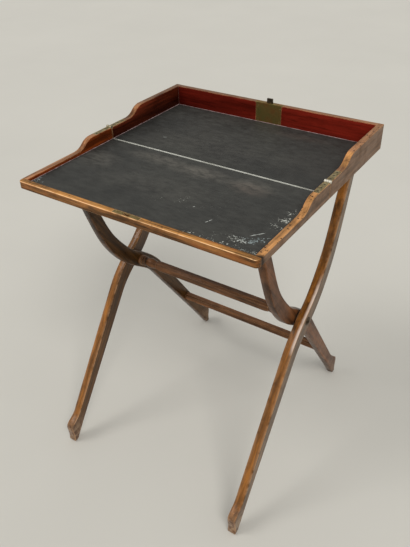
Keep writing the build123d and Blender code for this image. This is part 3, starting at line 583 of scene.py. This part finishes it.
# The side tones are darker than the fronts: painted shade on the sides that face the other legs.
leg_woods = {
    # The upper part of the outer left leg is darkened as the painted shadow of the box.
    "outer_left_leg": leg_wood("outer_left_leg", WARM_FRONT, BROWN_SIDE, (2, 2, 1),
                               more=[(painted_shade_towards, "Z", 0.64, 0.50, 0.38)]),
    # Two painted highlight streaks run down the front of the outer right leg.
    "outer_right_leg": leg_wood("outer_right_leg", WARM_FRONT, PALE_SIDE, (6, 5, 2),
                                seams_and_painted_light=[(glint, "outer_right_leg", *place) for place in GLINTS]),
    "inner_left_leg": leg_wood("inner_left_leg", DARK_BROWN_FRONT, DARK_SIDE, (4, 1, 5), 0.10),
    "inner_right_leg": leg_wood("inner_right_leg", DUSKY_FRONT, RUSSET_SIDE, (8, 3, 7), 0.08)}
for name, wood in leg_woods.items():
    paint(wood, name)
bar_wood = mahogany("bar_mahogany", "x", [(ALL, BAR), (DOWN, SHADED)], PALE_ARRIS, edge=0.003,
                    seed=(0, 7, 3), rough=(0.40, 0.58), specular=0.25, wax=0.06, rub=(0.75, 0.50))
paint(bar_wood, "outer_top_rail", "inner_top_rail", "lower_stretcher", "pivot_stretcher")
print("frames dressed")

# %% [markdown]
# ## Worn legs
#
# Handling has softened every arris of the legs, and dragging has made the toes blunt. So each leg gets
# a worn twin: a copy of its mesh with its flat faces merged, the outline of both sides rounded, and
# the points near the floor drawn in along quarter circles, which can never make the leg larger. The
# middle of each rounding carries a number, `arris`, that the finish reads to rub the colour thin there.

# %% Round the legs
ARRIS_ROUND = 0.0009
TOE_ROUND = 0.0080        # seen from the side
SOLE_ROUND = 0.0060       # seen from the front
SOLE_LEVELS = (0.0006, 0.0015, 0.0028, 0.0044, 0.0062)
ON_FACE = 0.0001
SAME_PLANE = math.radians(0.5)
SIDEWAYS = 0.99           # a normal this close to X belongs to a side of the leg


def outline(shell, side):
    """The edges round one side of a leg, found by following them from the lowest one."""
    rim = [e for e in shell.edges if len(e.link_faces) == 2
           and sum(f.normal.x * side > SIDEWAYS for f in e.link_faces) == 1]
    found = [min(rim, key=lambda e: sum(v.co.z for v in e.verts))]
    left = set(rim) - set(found)
    for edge in found:
        near = [other for corner in edge.verts for other in corner.link_edges if other in left]
        left -= set(near)
        found += near
    return found


def drawn_in(height, radius):
    """How far a quarter circle stands back from an upright face at a height above the floor."""
    rest = radius - max(0.0, min(height, radius))
    return radius - math.sqrt(radius * radius - rest * rest)


def worn_leg(node, material):
    low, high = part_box(node)
    shell = edited(nodes[node].data)
    bmesh.ops.dissolve_limit(shell, angle_limit=SAME_PLANE, verts=shell.verts, edges=shell.edges)
    arris = shell.verts.layers.float.new("arris")
    for side, face in ((-1, low.x), (1, high.x)):
        around = outline(shell, side)
        made = bmesh.ops.bevel(shell, geom=around, offset=ARRIS_ROUND, segments=2, profile=0.5,
                               affect="EDGES", clamp_overlap=True)
        for corner in made["verts"]:
            corner[arris] = float(abs(corner.co.x - face) > ON_FACE)
        print(node, "side", side, "rounded along", len(around), "edges")
    for level in SOLE_LEVELS:
        bmesh.ops.bisect_plane(shell, geom=[*shell.verts, *shell.edges, *shell.faces],
                               plane_co=(0, 0, level), plane_no=(0, 0, 1))
    toe = max(abs(low.y), abs(high.y))
    for corner in shell.verts:
        reach = toe - drawn_in(corner.co.z, TOE_ROUND)
        sole = drawn_in(corner.co.z, SOLE_ROUND)
        corner.co.y = max(-reach, min(reach, corner.co.y))
        corner.co.x = max(low.x + sole, min(high.x - sole, corner.co.x))
    bmesh.ops.recalc_face_normals(shell, faces=shell.faces)
    mesh = frozen(shell, "worn_" + node, material)
    smooth_where(mesh, lambda face: abs(face.normal.x) < SIDEWAYS)
    piece = show("worn_" + node, mesh)
    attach(piece, node.split("_")[0] + "_frame")
    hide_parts(node)
    return piece


for name, wood in leg_woods.items():
    leg = worn_leg(name, wood)
    print(leg.name, "has", len(leg.data.polygons), "faces")

# %% [markdown]
# ## Brass and steel
#
# The hinges, the lock and the brackets are brass that has gone olive brown and is only bright where it is rubbed,
# with a pale painted highlight along the hinge knuckle. The screws are iron and almost black. Both are metals to
# the shader, so their colour is the colour of their reflections: a patchy noise moves it between the clean and
# the tarnished tone.

# %% Mix and give the metals
METAL_EDGE = 0.0006
KNUCKLE_SIDE = (0.0042, 0.0034)     # from the hinge line, outside and inside the knuckle


def aged_metal(name, clean, tarnish, rough=(0.40, 0.62), knuckle=None, fineness=170.0):
    finish = Finish(name)
    patches = finish.noise(fineness)
    normal, edge_share = finish.rounded(METAL_EDGE)
    colour = finish.over(clean, tarnish, finish.between(patches, 0.35, 0.65))
    colour = finish.over(colour, clean, edge_share, 0.6)
    # a pale painted highlight along the hinge knuckle, a quarter as strong on the left half
    if knuckle is not None:
        colour = finish.over(colour, knuckle,
                             finish.between(finish.maths("ABSOLUTE", finish.coordinate("Y")), *KNUCKLE_SIDE),
                             finish.between(finish.coordinate("X"), -0.01, 0.01, 0.25, 1.0))
    finish.shade(base_color=colour, metallic=1.0, roughness=finish.between(patches, 0.3, 0.7, *rough),
                 normal=finish.bump(patches, 0.15, 0.0003, Normal=normal))
    return finish.material


brass = aged_metal("aged_brass", (0.48, 0.40, 0.22), (0.210, 0.165, 0.080), knuckle=(0.78, 0.74, 0.64))
strike_brass = aged_metal("strike_brass", (0.36, 0.27, 0.11), (0.22, 0.155, 0.060))
lock_brass = aged_metal("lock_brass", (0.30, 0.245, 0.080), (0.275, 0.145, 0.048), fineness=62.0)
bronze = aged_metal("dark_bronze", (0.13, 0.095, 0.060), (0.050, 0.036, 0.024))
steel = aged_metal("dark_steel", (0.150, 0.120, 0.085), (0.055, 0.043, 0.031))
paint(brass, *(n for n in nodes if "strap" in n or n == "hinge_pins"))
paint(strike_brass, "strike_plate")
paint(bronze, *(n for n in nodes if "bracket" in n or "washer" in n or n == "pivot_screws"))
paint(lock_brass, "lock_plate", "lock_case", "key_escutcheon")
paint(steel, "lock_bolt")
METALS = (brass, strike_brass, lock_brass, bronze, steel)
print("metal nodes:", sum(nodes[n].data.materials[0] in METALS for n in nodes))

# %% [markdown]
# ## The writing surface
#
# Each half of the table is lined with leathercloth: a dark coated cloth glued on the board. Damp has
# left it very slightly wavy, and a flat quad would reflect the lamps as one dead tone. So the sheet is
# a fine grid with shallow swells, closed underneath, that takes the place of the frame's flat sheet.

# %% Lay the leathercloth
SWELL = 0.00035           # depth of the swells
SHEET_STEPS = (96, 48)


def swell(x, y):
    """Depth below the highest level, from three crossing waves."""
    waves = math.sin(17 * x + 5 * y) + math.sin(9 * x - 23 * y + 1.3) + math.sin(31 * x + 14 * y + 2.1)
    return SWELL * (waves / 6 - 0.5)


def leathercloth_sheet(name, node, material):
    low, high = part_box(node)
    columns, rows = SHEET_STEPS
    grid = bmesh.new()
    bmesh.ops.create_grid(grid, x_segments=columns, y_segments=rows, size=0.5)
    for corner in grid.verts:
        x = (low.x + high.x) / 2 + corner.co.x * (high.x - low.x)
        y = (low.y + high.y) / 2 + corner.co.y * (high.y - low.y)
        corner.co = (x, y, high.z + swell(x, y))
    rim = [edge for edge in grid.edges if edge.is_boundary]
    skirt = bmesh.ops.extrude_edge_only(grid, edges=rim)["geom"]
    lower = [item for item in skirt if isinstance(item, bmesh.types.BMVert)]
    for corner in lower:
        corner.co.z = low.z
    bmesh.ops.contextual_create(grid, geom=[edge for edge in grid.edges if edge.is_boundary])
    bmesh.ops.recalc_face_normals(grid, faces=grid.faces)
    mesh = frozen(grid, name, material)
    smooth_where(mesh, lambda face: face.normal.z > 0.9)
    return show(name, mesh)


print("swells of", SWELL * 1000, "mm on a grid of", SHEET_STEPS)

# %% [markdown]
# ## Marks on the leathercloth
#
# The coating is nearly black, with a warm cloud where forearms rubbed it in front of the hinge line, a
# few bright scratches, and small flecks at the right front corner where it has chipped to the white
# cloth. A mark with a place is made from Object coordinates: `spot` fades out around a point, and
# `scratch` follows a short line.

# %% Paint the leathercloth
DARK_COATING, COATING = (0.032, 0.032, 0.029), (0.048, 0.047, 0.041)
SCRATCHED = (0.62, 0.63, 0.58)
SCRATCH_WIDTH = 0.0021
CHIPPED = (0.83, 0.88)     # level of the noise where the coating is whole, and where it is gone


def spot(finish, centre, reach):
    """1 at a point of the surface, fading to 0 at the given reach along X and Y."""
    return finish.between(finish.vector("LENGTH", finish.measured((*reach, 0), (*centre, 0))), 1.0, 0.0)


def scratch(finish, start, end):
    """1 along a short line from start to end, 0 beside it."""
    dx, dy = end[0] - start[0], end[1] - start[1]
    place = finish.measured((math.hypot(dx, dy) / 2, SCRATCH_WIDTH / 2, 1),
                            ((start[0] + end[0]) / 2, (start[1] + end[1]) / 2, 0), (0, 0, math.atan2(dy, dx)))
    along, across, _ = finish.add("ShaderNodeSeparateXYZ", {0: place}).outputs
    return finish.times(finish.between(finish.maths("ABSOLUTE", along), 1.0, 0.6),
                        finish.between(finish.maths("ABSOLUTE", across), 1.0, 0.3))


def leathercloth(name, clouds, flecked, scratches, tint=1.0):
    """clouds are (centre, reach, strength, colour), flecked the same, and scratches (start, end)."""
    finish = Finish(name)
    fine = finish.noise(1.0, 6.0, 0.72, place=finish.measured((0.024, 0.011, 0.02)))
    clumps = finish.noise(38.0, 3.0)
    chips = finish.noise(340.0, 3.0, 0.72)
    colour = finish.ramp(finish.noise(7.0), (0.35, [c * tint for c in DARK_COATING]),
                         (0.65, [c * tint for c in COATING]))
    colour = finish.dimmed(colour, finish.between(fine, 0.35, 0.65, 0.72, 1.30))
    for centre, reach, strength, tone in clouds:
        colour = finish.over(colour, tone, spot(finish, centre, reach),
                             finish.between(fine, 0.38, 0.62, 0.15, 1.0), strength)
    for centre, reach, strength, tone in flecked:
        level = finish.times(spot(finish, centre, reach), finish.between(clumps, 0.34, 0.58), strength)
        colour = finish.over(colour, tone, finish.between(finish.maths("ADD", chips, level), *CHIPPED), 0.85)
    for start, end in scratches:
        colour = finish.over(colour, SCRATCHED, scratch(finish, start, end), finish.between(chips, 0.38, 0.52))
    relief = finish.maths("ADD", finish.cells(700.0), finish.times(fine, 0.6))
    finish.shade(base_color=colour, roughness=finish.between(fine, 0.3, 0.7, 0.50, 0.66),
                 specular_ior_level=0.22, normal=finish.bump(relief, 0.35, 0.00025))
    return finish.material


CLOUD = (0.185, 0.165, 0.135)
RUSTY = (0.115, 0.070, 0.052)
CHALK = (0.62, 0.62, 0.54)
BLUISH = (0.30, 0.36, 0.36)
front_cloth = leathercloth(
    "front_leathercloth",
    clouds=[((-0.100, -0.034), (0.090, 0.028), 0.55, CLOUD), ((0.010, -0.044), (0.085, 0.030), 0.70, CLOUD),
            ((0.128, -0.046), (0.060, 0.034), 0.60, CLOUD), ((0.130, -0.056), (0.055, 0.028), 0.35, RUSTY),
            ((-0.205, -0.100), (0.060, 0.045), 0.35, CLOUD), ((-0.03, -0.14), (0.16, 0.05), 0.14, CLOUD)],
    flecked=[((0.210, -0.225), (0.090, 0.058), 0.405, CHALK), ((0.165, -0.245), (0.130, 0.026), 0.375, CHALK),
             ((0.240, -0.140), (0.040, 0.150), 0.385, CHALK), ((-0.244, -0.230), (0.034, 0.040), 0.46, BLUISH),
             ((0.225, -0.215), (0.085, 0.075), 0.375, BLUISH), ((0.05, -0.16), (0.22, 0.10), 0.23, CHALK),
             ((0.250, -0.250), (0.036, 0.030), 0.43, CHALK)],
    scratches=[((0.125, -0.2015), (0.131, -0.1865)), ((0.2126, -0.2000), (0.2313, -0.1775)),
               ((0.206, -0.220), (0.221, -0.222)), ((0.0765, -0.167), (0.0785, -0.163))])
rear_cloth = leathercloth(
    "rear_leathercloth",
    clouds=[((0.10, 0.215), (0.09, 0.022), 0.30, RUSTY), ((-0.05, 0.08), (0.20, 0.10), 0.14, CLOUD),
            ((0.20, 0.10), (0.10, 0.12), 0.30, (0.034, 0.026, 0.022))],
    flecked=[((-0.05, 0.12), (0.25, 0.14), 0.17, CHALK)],
    scratches=[((-0.162, 0.064), (-0.154, 0.067))], tint=0.95)

for leaf, cloth in (("rear", rear_cloth), ("front", front_cloth)):
    sheet = leathercloth_sheet(leaf + "_writing_sheet", leaf + "_skin", cloth)
    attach(sheet, leaf + "_leaf")
    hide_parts(leaf + "_skin")
    paint(cloth, leaf + "_skin")
    print(sheet.name, "has", len(sheet.data.polygons), "faces")

# %% [markdown]
# ## Growing pieces from a path
#
# Two kinds of piece on this table follow a path: the worn edge of the cloth along the walls, and the
# turned ends of the pivot bar. One Geometry Nodes tree serves both. A path drawn in the script carries
# a radius at each of its points, and the tree sweeps a circle along it, with named inputs for the
# thickness, the unevenness and the number of sides.

# %% A tree that sweeps a circle along a path
RANDOM_MIN, RANDOM_MAX = 2, 3      # places of the inputs for a random decimal number
RANDOM_FLOAT = 1                   # place of its output


class Growth(Graph):
    """A geometry tree with its own named inputs."""

    def __init__(self, name, **sockets):
        super().__init__(bpy.data.node_groups.new(name, "GeometryNodeTree"))
        face = self.tree.interface
        face.new_socket("Geometry", in_out="INPUT", socket_type="NodeSocketGeometry")
        for key, kind in sockets.items():
            face.new_socket(key.replace("_", " ").title(), in_out="INPUT", socket_type="NodeSocket" + kind)
        face.new_socket("Geometry", in_out="OUTPUT", socket_type="NodeSocketGeometry")
        self.given = self.add("NodeGroupInput")
        self.inputs = self.given.outputs

    def vector(self, *values):
        return self.add("ShaderNodeCombineXYZ", dict(enumerate(values))).outputs[0]

    def random(self, low, high):
        """A decimal number of its own for each point, from the seed."""
        return self.add("FunctionNodeRandomValue", {
            RANDOM_MIN: low, RANDOM_MAX: high, "Seed": self.inputs["Seed"]},
            data_type="FLOAT").outputs[RANDOM_FLOAT]

    def finished(self, *steps):
        """Links the steps one after another, makes copies real, gives the material and ends the tree."""
        in_order = [self.given, *steps, self.add("GeometryNodeRealizeInstances"),
                    self.add("GeometryNodeSetMaterial", {"Material": self.inputs["Material"]}),
                    self.add("NodeGroupOutput")]
        for first, second in zip(in_order, in_order[1:]):
            put(second.inputs[0], first.outputs[0])
        return self.tree


def sweep_tree():
    graph = Growth("swept_path", thickness="Float", unevenness="Float", seed="Int", sides="Int",
                   material="Material")
    radius = graph.add("GeometryNodeInputNamedAttribute", {"Name": "path_radius"}, data_type="FLOAT")
    random = graph.random(graph.maths("SUBTRACT", 1.0, graph.inputs["Unevenness"]), 1.0)
    thick = graph.times(radius.outputs["Attribute"], random, graph.inputs["Thickness"])
    circle = graph.add("GeometryNodeCurvePrimitiveCircle",
                       {"Radius": 1.0, "Resolution": graph.inputs["Sides"]}).outputs["Curve"]
    return graph.finished(graph.add("GeometryNodeMeshToCurve"), graph.add(
        "GeometryNodeCurveToMesh", {"Profile Curve": circle, "Scale": thick, "Fill Caps": True}))


swept_path = sweep_tree()
print("inputs of the tree:", [item.name for item in swept_path.interface.items_tree])

# %% [markdown]
# ## From a tree to a plain mesh
#
# A tree is a live modifier, and a finished piece should be a plain mesh. So the tree is put on a small
# starting mesh, its inputs are set by their identifiers, the object is evaluated once, and the result
# is copied out.

# %% Run a tree and keep its mesh


def grown(name, start, tree, **values):
    """A plain mesh object grown by a tree from a starting mesh."""
    seed = show(name + "_start", start)
    modifier = seed.modifiers.new(tree.name, "NODES")
    modifier.node_group = tree
    for socket in tree.interface.items_tree:
        key = socket.name.lower().replace(" ", "_")
        if socket.in_out == "INPUT" and key in values:
            modifier[socket.identifier] = values[key]
    evaluated = seed.evaluated_get(bpy.context.evaluated_depsgraph_get())
    mesh = bpy.data.meshes.new_from_object(evaluated)
    seed.modifiers.remove(modifier)
    bpy.data.objects.remove(seed)
    mesh.name = name
    shell = edited(mesh)
    bmesh.ops.recalc_face_normals(shell, faces=shell.faces)
    shell.to_mesh(mesh)
    shell.free()
    return show(name, mesh)


def path_mesh(name, runs):
    """Open runs of points given as (place, radius), for the sweeping tree."""
    mesh = bpy.data.meshes.new(name)
    points, edges = [], []
    for run in runs:
        edges += [(len(points) + i, len(points) + i + 1) for i in range(len(run) - 1)]
        points += run
    mesh.from_pydata([place for place, _ in points], edges, [])
    radius = mesh.attributes.new("path_radius", "FLOAT", "POINT")
    radius.data.foreach_set("value", [reach for _, reach in points])
    return mesh


print("pieces grown from now on are plain meshes")

# %% [markdown]
# ## The edge of the leathercloth
#
# Where the cloth meets the walls, the coating has worn off its cut edge, so a thin mauve-grey line runs
# round each half. Along the hinge line it is worn to the white cloth. A painted line would have no
# thickness, so the edge is an uneven bead swept along the border, thinner at the ends of the hinge line.

# %% Bead the edges of the cloth
BEAD_STEP = 0.008
BORDER_INSET, SEAM_INSET = 0.0006, 0.0005


def evenly(start, end):
    """Points along a straight run, the last one left out."""
    count = max(1, round((Vector(end) - Vector(start)).length / BEAD_STEP))
    return [tuple(Vector(start).lerp(Vector(end), i / count)) for i in range(count)]


def is_quad(face):
    return len(face.vertices) == 4


def plain_finish(name, dark, light, scale=90.0):
    finish = Finish(name)
    patches = finish.between(finish.noise(scale, roughness=0.65), 0.35, 0.65)
    finish.shade(base_color=finish.mix(patches, dark, light), roughness=0.7, specular_ior_level=0.2)
    return finish.material


worn_edge = plain_finish("worn_cloth_edge", (0.15, 0.095, 0.090), (0.44, 0.31, 0.30))
bare_edge = plain_finish("bare_cloth_edge", (0.72, 0.71, 0.60), (0.88, 0.87, 0.77), scale=40.0)
cloth_low, cloth_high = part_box("rear_skin")
SIDE = cloth_high.x - BORDER_INSET
BACK_LINE = cloth_high.y - BORDER_INSET
SEAM_LINE = cloth_low.y + SEAM_INSET
LEVEL = cloth_high.z

for leaf, way in (("rear", 1), ("front", -1)):
    corners = [(-SIDE, way * SEAM_LINE, LEVEL), (-SIDE, way * BACK_LINE, LEVEL),
               (SIDE, way * BACK_LINE, LEVEL), (SIDE, way * SEAM_LINE, LEVEL)]
    border = [place for start, end in zip(corners, corners[1:]) for place in evenly(start, end)]
    border.append(corners[-1])
    bead = grown(leaf + "_cloth_edge", path_mesh("border", [[(place, 1.0) for place in border]]), swept_path,
                 thickness=0.0010, unevenness=0.5, seed=4, sides=8, material=worn_edge)
    fold = evenly((-SIDE, way * SEAM_LINE, LEVEL), (SIDE, way * SEAM_LINE, LEVEL))
    shares = [min(1.0, 0.45 + 6 * min(i, len(fold) - 1 - i) / len(fold)) for i in range(len(fold))]
    seam = grown(leaf + "_seam_edge", path_mesh("seam", [list(zip(fold, shares))]), swept_path,
                 thickness=0.0005, unevenness=0.25, seed=9, sides=8, material=bare_edge)
    for piece in (bead, seam):
        smooth_where(piece.data, is_quad)
        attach(piece, leaf + "_leaf")
        print(piece.name, "has", len(piece.data.polygons), "faces")

# %% [markdown]
# ## The turned pivot bar
#
# A bar joins the two inner legs on the pivot line: octagonal in the middle, and turned at both ends to
# a vase, three beads and a collar. Turned work is a radius that changes along an axis, which is exactly
# what the sweeping tree takes. The profile, in millimetres from the leg, is mirrored for the other end.

# %% Turn the ends and plane the bar
TURNING = [(0.0, 12.6), (1.0, 13.0), (3.2, 13.0), (4.4, 12.4), (5.0, 10.2), (5.8, 9.8), (6.4, 10.4), (7.4, 12.0),
           (8.8, 12.6), (10.2, 12.0), (11.2, 10.2), (12.0, 9.6), (12.8, 10.2), (13.8, 11.6), (15.2, 12.1),
           (16.6, 11.6), (17.6, 10.0), (18.6, 9.4), (20.5, 9.9), (24.0, 11.2), (28.0, 12.2), (32.0, 12.4),
           (36.0, 12.0), (40.0, 11.2), (44.0, 10.3), (47.0, 9.7), (50.0, 9.4)]
bar_low, bar_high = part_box("pivot_stretcher")
leg_low, leg_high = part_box("inner_right_leg")
PIVOT_LEVEL = (bar_low.z + bar_high.z) / 2
LEG_FACE = leg_low.x
BAR_HALF = 0.0105
BAR_CHAMFER = 0.004
BAR_END_HALF, BAR_TONGUE = 0.0095, 0.010
TENON_RADIUS = 0.008
CLEAR = 0.00001           # keeps two rings of points from falling together
RING_LIGHT_REACH = (0.023, 0.019)   # the painted groove shade and bead highlights end this far from the leg
GROOVE_RADIUS, COLLAR_RADIUS = 0.0094, 0.0128


def turned_run(side):
    """One turned end from its tenon to the bar, as points with radii."""
    run = [((side * leg_high.x, 0, PIVOT_LEVEL), TENON_RADIUS), ((side * LEG_FACE, 0, PIVOT_LEVEL), TENON_RADIUS)]
    for distance, reach in TURNING:
        run.append(((side * (LEG_FACE - distance / 1000 - CLEAR), 0, PIVOT_LEVEL), reach / 1000))
    return run


def octagonal_bar(name, half_length):
    """A square bar with broad chamfers that run out in lamb's tongues at its ends."""
    shell = bmesh.new()
    sections = [(-half_length, BAR_END_HALF), (-half_length + BAR_TONGUE, BAR_HALF),
                (half_length - BAR_TONGUE, BAR_HALF), (half_length, BAR_END_HALF)]
    rings = []
    for x, half in sections:
        cut = half - BAR_CHAMFER
        profile = [(cut, half), (half, cut), (half, -cut), (cut, -half), (-cut, -half), (-half, -cut),
                   (-half, cut), (-cut, half)]
        rings.append([shell.verts.new((x, y, PIVOT_LEVEL + z)) for y, z in profile])
    for first, second in zip(rings, rings[1:]):
        for i in range(8):
            shell.faces.new((first[i], first[(i + 1) % 8], second[(i + 1) % 8], second[i]))
    shell.faces.new(rings[0])
    shell.faces.new(rings[-1])
    bmesh.ops.recalc_face_normals(shell, faces=shell.faces)
    return frozen(shell, name)


def joined(name, pieces, material):
    """One object made of several, its starting pieces removed."""
    shell = bmesh.new()
    for piece in pieces:
        shell.from_mesh(piece.data)
        bpy.data.objects.remove(piece)
    mesh = frozen(shell, name, material)
    for face in mesh.polygons:
        face.material_index = 0
    return show(name, mesh)


def painted_ring_light(finish, colour):
    """Painted shade in the grooves of the turning and painted highlights on its beads."""
    radius = finish.vector("LENGTH", finish.measured((0, 1, 1), (0, 0, PIVOT_LEVEL)))
    depth = finish.ramp(finish.between(radius, GROOVE_RADIUS, COLLAR_RADIUS), (0.0, (0.07, 0.06, 0.05)),
                        (0.60, (0.42, 0.38, 0.34)), (0.92, (1.45, 1.50, 1.60)))
    share = finish.between(finish.maths("ABSOLUTE", finish.coordinate("X")), *(LEG_FACE - r for r in RING_LIGHT_REACH))
    return finish.over(colour, finish.mix(1.0, colour, depth, blend="MULTIPLY"), share)


turned_wood = mahogany("turned_mahogany", "x", [(ALL, BAR), (DOWN, SHADED)], PALE_ARRIS, edge=0.002,
                       seed=(0, 7, 3), rough=(0.34, 0.52), specular=0.30, wax=0.10, rub=(0.75, 0.50),
                       dirt=[(painted_ring_light,)])
turned_ends = grown("turned_ends", path_mesh("turning", [turned_run(1), turned_run(-1)]), swept_path,
                    thickness=1.0, unevenness=0.0, seed=0, sides=40, material=turned_wood)
smooth_where(turned_ends.data, is_quad)
middle = show("octagonal_middle", octagonal_bar("octagonal_middle", LEG_FACE - TURNING[-1][0] / 1000))
turned_bar = joined("turned_pivot_bar", [turned_ends, middle], turned_wood)
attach(turned_bar, "inner_frame")
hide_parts("pivot_stretcher")
print(turned_bar.name, "has", len(turned_bar.data.polygons), "faces")

# %% [markdown]
# ## Screws
#
# Twenty-six slotted wood screws hold the hinges, the lock and the brackets. Nobody lines the slots up
# in old work, so the tree builds one screw from a cone and a shank, saws its slot, and sets a copy
# at each point with its own turn about its axis, from a fixed seed. The points are where the frame
# has its screws, and one named input says which way they all face.

# %% A tree that sets screws
SCREW_SIDES = 24


def screw_tree():
    graph = Growth("wood_screws", head_radius="Float", shank_radius="Float", length="Float", slot="Float",
                   facing="Vector", seed="Int", material="Material")
    head, shank, length, slot, facing = (graph.inputs[name] for name in (
        "Head Radius", "Shank Radius", "Length", "Slot", "Facing"))
    depth = graph.maths("SUBTRACT", head, shank)

    def lowered(solid, z):
        return graph.add("GeometryNodeTransform", {
            0: solid.outputs["Mesh"], "Translation": graph.vector(0.0, 0.0, z)})

    cone = graph.add("GeometryNodeMeshCone", {
        "Vertices": SCREW_SIDES, "Radius Top": head, "Radius Bottom": shank, "Depth": depth})
    body = graph.add("GeometryNodeMeshCylinder", {
        "Vertices": SCREW_SIDES, "Radius": shank, "Depth": graph.maths("SUBTRACT", length, depth)})
    whole = graph.add("GeometryNodeMeshBoolean", operation="UNION")
    for solid, level in ((cone, graph.times(depth, -1.0)),
                         (body, graph.times(graph.maths("ADD", length, depth), -0.5))):
        put(whole.inputs["Mesh 2"], lowered(solid, level).outputs[0])
    blade = graph.add("GeometryNodeMeshCube", {
        "Size": graph.vector(graph.times(head, 3.0), slot, graph.times(slot, 2.0))})
    sawn = graph.add("GeometryNodeMeshBoolean", {
        "Mesh 1": whole.outputs["Mesh"], "Mesh 2": blade.outputs["Mesh"]}, operation="DIFFERENCE")
    spin = graph.add("FunctionNodeAxisAngleToRotation", {"Axis": UP, "Angle": graph.random(0.0, math.pi)})
    face = graph.add("FunctionNodeAlignRotationToVector", {"Vector": facing})
    aim = graph.add("FunctionNodeRotateRotation", {"Rotation": spin.outputs[0], "Rotate By": face.outputs[0]})
    return graph.finished(graph.add("GeometryNodeInstanceOnPoints", {
        "Instance": sawn.outputs["Mesh"], "Rotation": aim.outputs[0]}))


wood_screws = screw_tree()
print("inputs of the tree:", [item.name for item in wood_screws.interface.items_tree])

# %% [markdown]
# ## Where the screws go
#
# The frame already holds each screw as a plain solid, several of them to a node. To find them again,
# the points of a node are sorted into groups that hang together by edges, and the box of each group
# gives the middle of one head. So a screw sits exactly where the engineering model has it.

# %% Set the screws
HEAD_RADIUS, SHANK_RADIUS, SLOT_WIDTH = 0.0023, 0.00115, 0.0006
FIRST_SEED = 17


def heads(node, facing):
    """Middle of each screw head of a node, on the side that it faces."""
    shell = edited(nodes[node].data)
    left, places = set(shell.verts), []
    while left:
        group, edge = set(), [left.pop()]
        while edge:
            corner = edge.pop()
            group.add(corner)
            near = {e.other_vert(corner) for e in corner.link_edges} & left
            left -= near
            edge += near
        low = Vector(min(c.co[i] for c in group) for i in range(3))
        high = Vector(max(c.co[i] for c in group) for i in range(3))
        reach = (high - low) / 2
        places.append((low + high) / 2 + Vector(facing) * abs(reach.dot(facing)))
    shell.free()
    return sorted(places, key=lambda place: tuple(round(c, 4) for c in place))


for number, (node, body, facing, length) in enumerate((
        ("rear_hinge_screws", "rear_leaf", UP, 0.0090), ("front_hinge_screws", "front_leaf", UP, 0.0090),
        ("lock_screws", "rear_leaf", FRONT, 0.0080), ("strike_screws", "front_leaf", UP, 0.0090),
        ("rear_bracket_screws", "rear_leaf", DOWN, 0.0085),
        ("front_bracket_screws", "front_leaf", DOWN, 0.0085))):
    places = heads(node, facing)
    start = bpy.data.meshes.new(node + "_points")
    start.from_pydata(places, [], [])
    piece = grown(node.replace("screws", "wood_screws"), start, wood_screws, head_radius=HEAD_RADIUS,
                  shank_radius=SHANK_RADIUS, length=length, slot=SLOT_WIDTH, facing=facing,
                  seed=FIRST_SEED + number,
                  material=strike_brass if node in ("strike_screws", "lock_screws") else steel)
    paint(steel, node)
    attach(piece, body)
    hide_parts(node)
    print(piece.name, "holds", len(places), "screws")
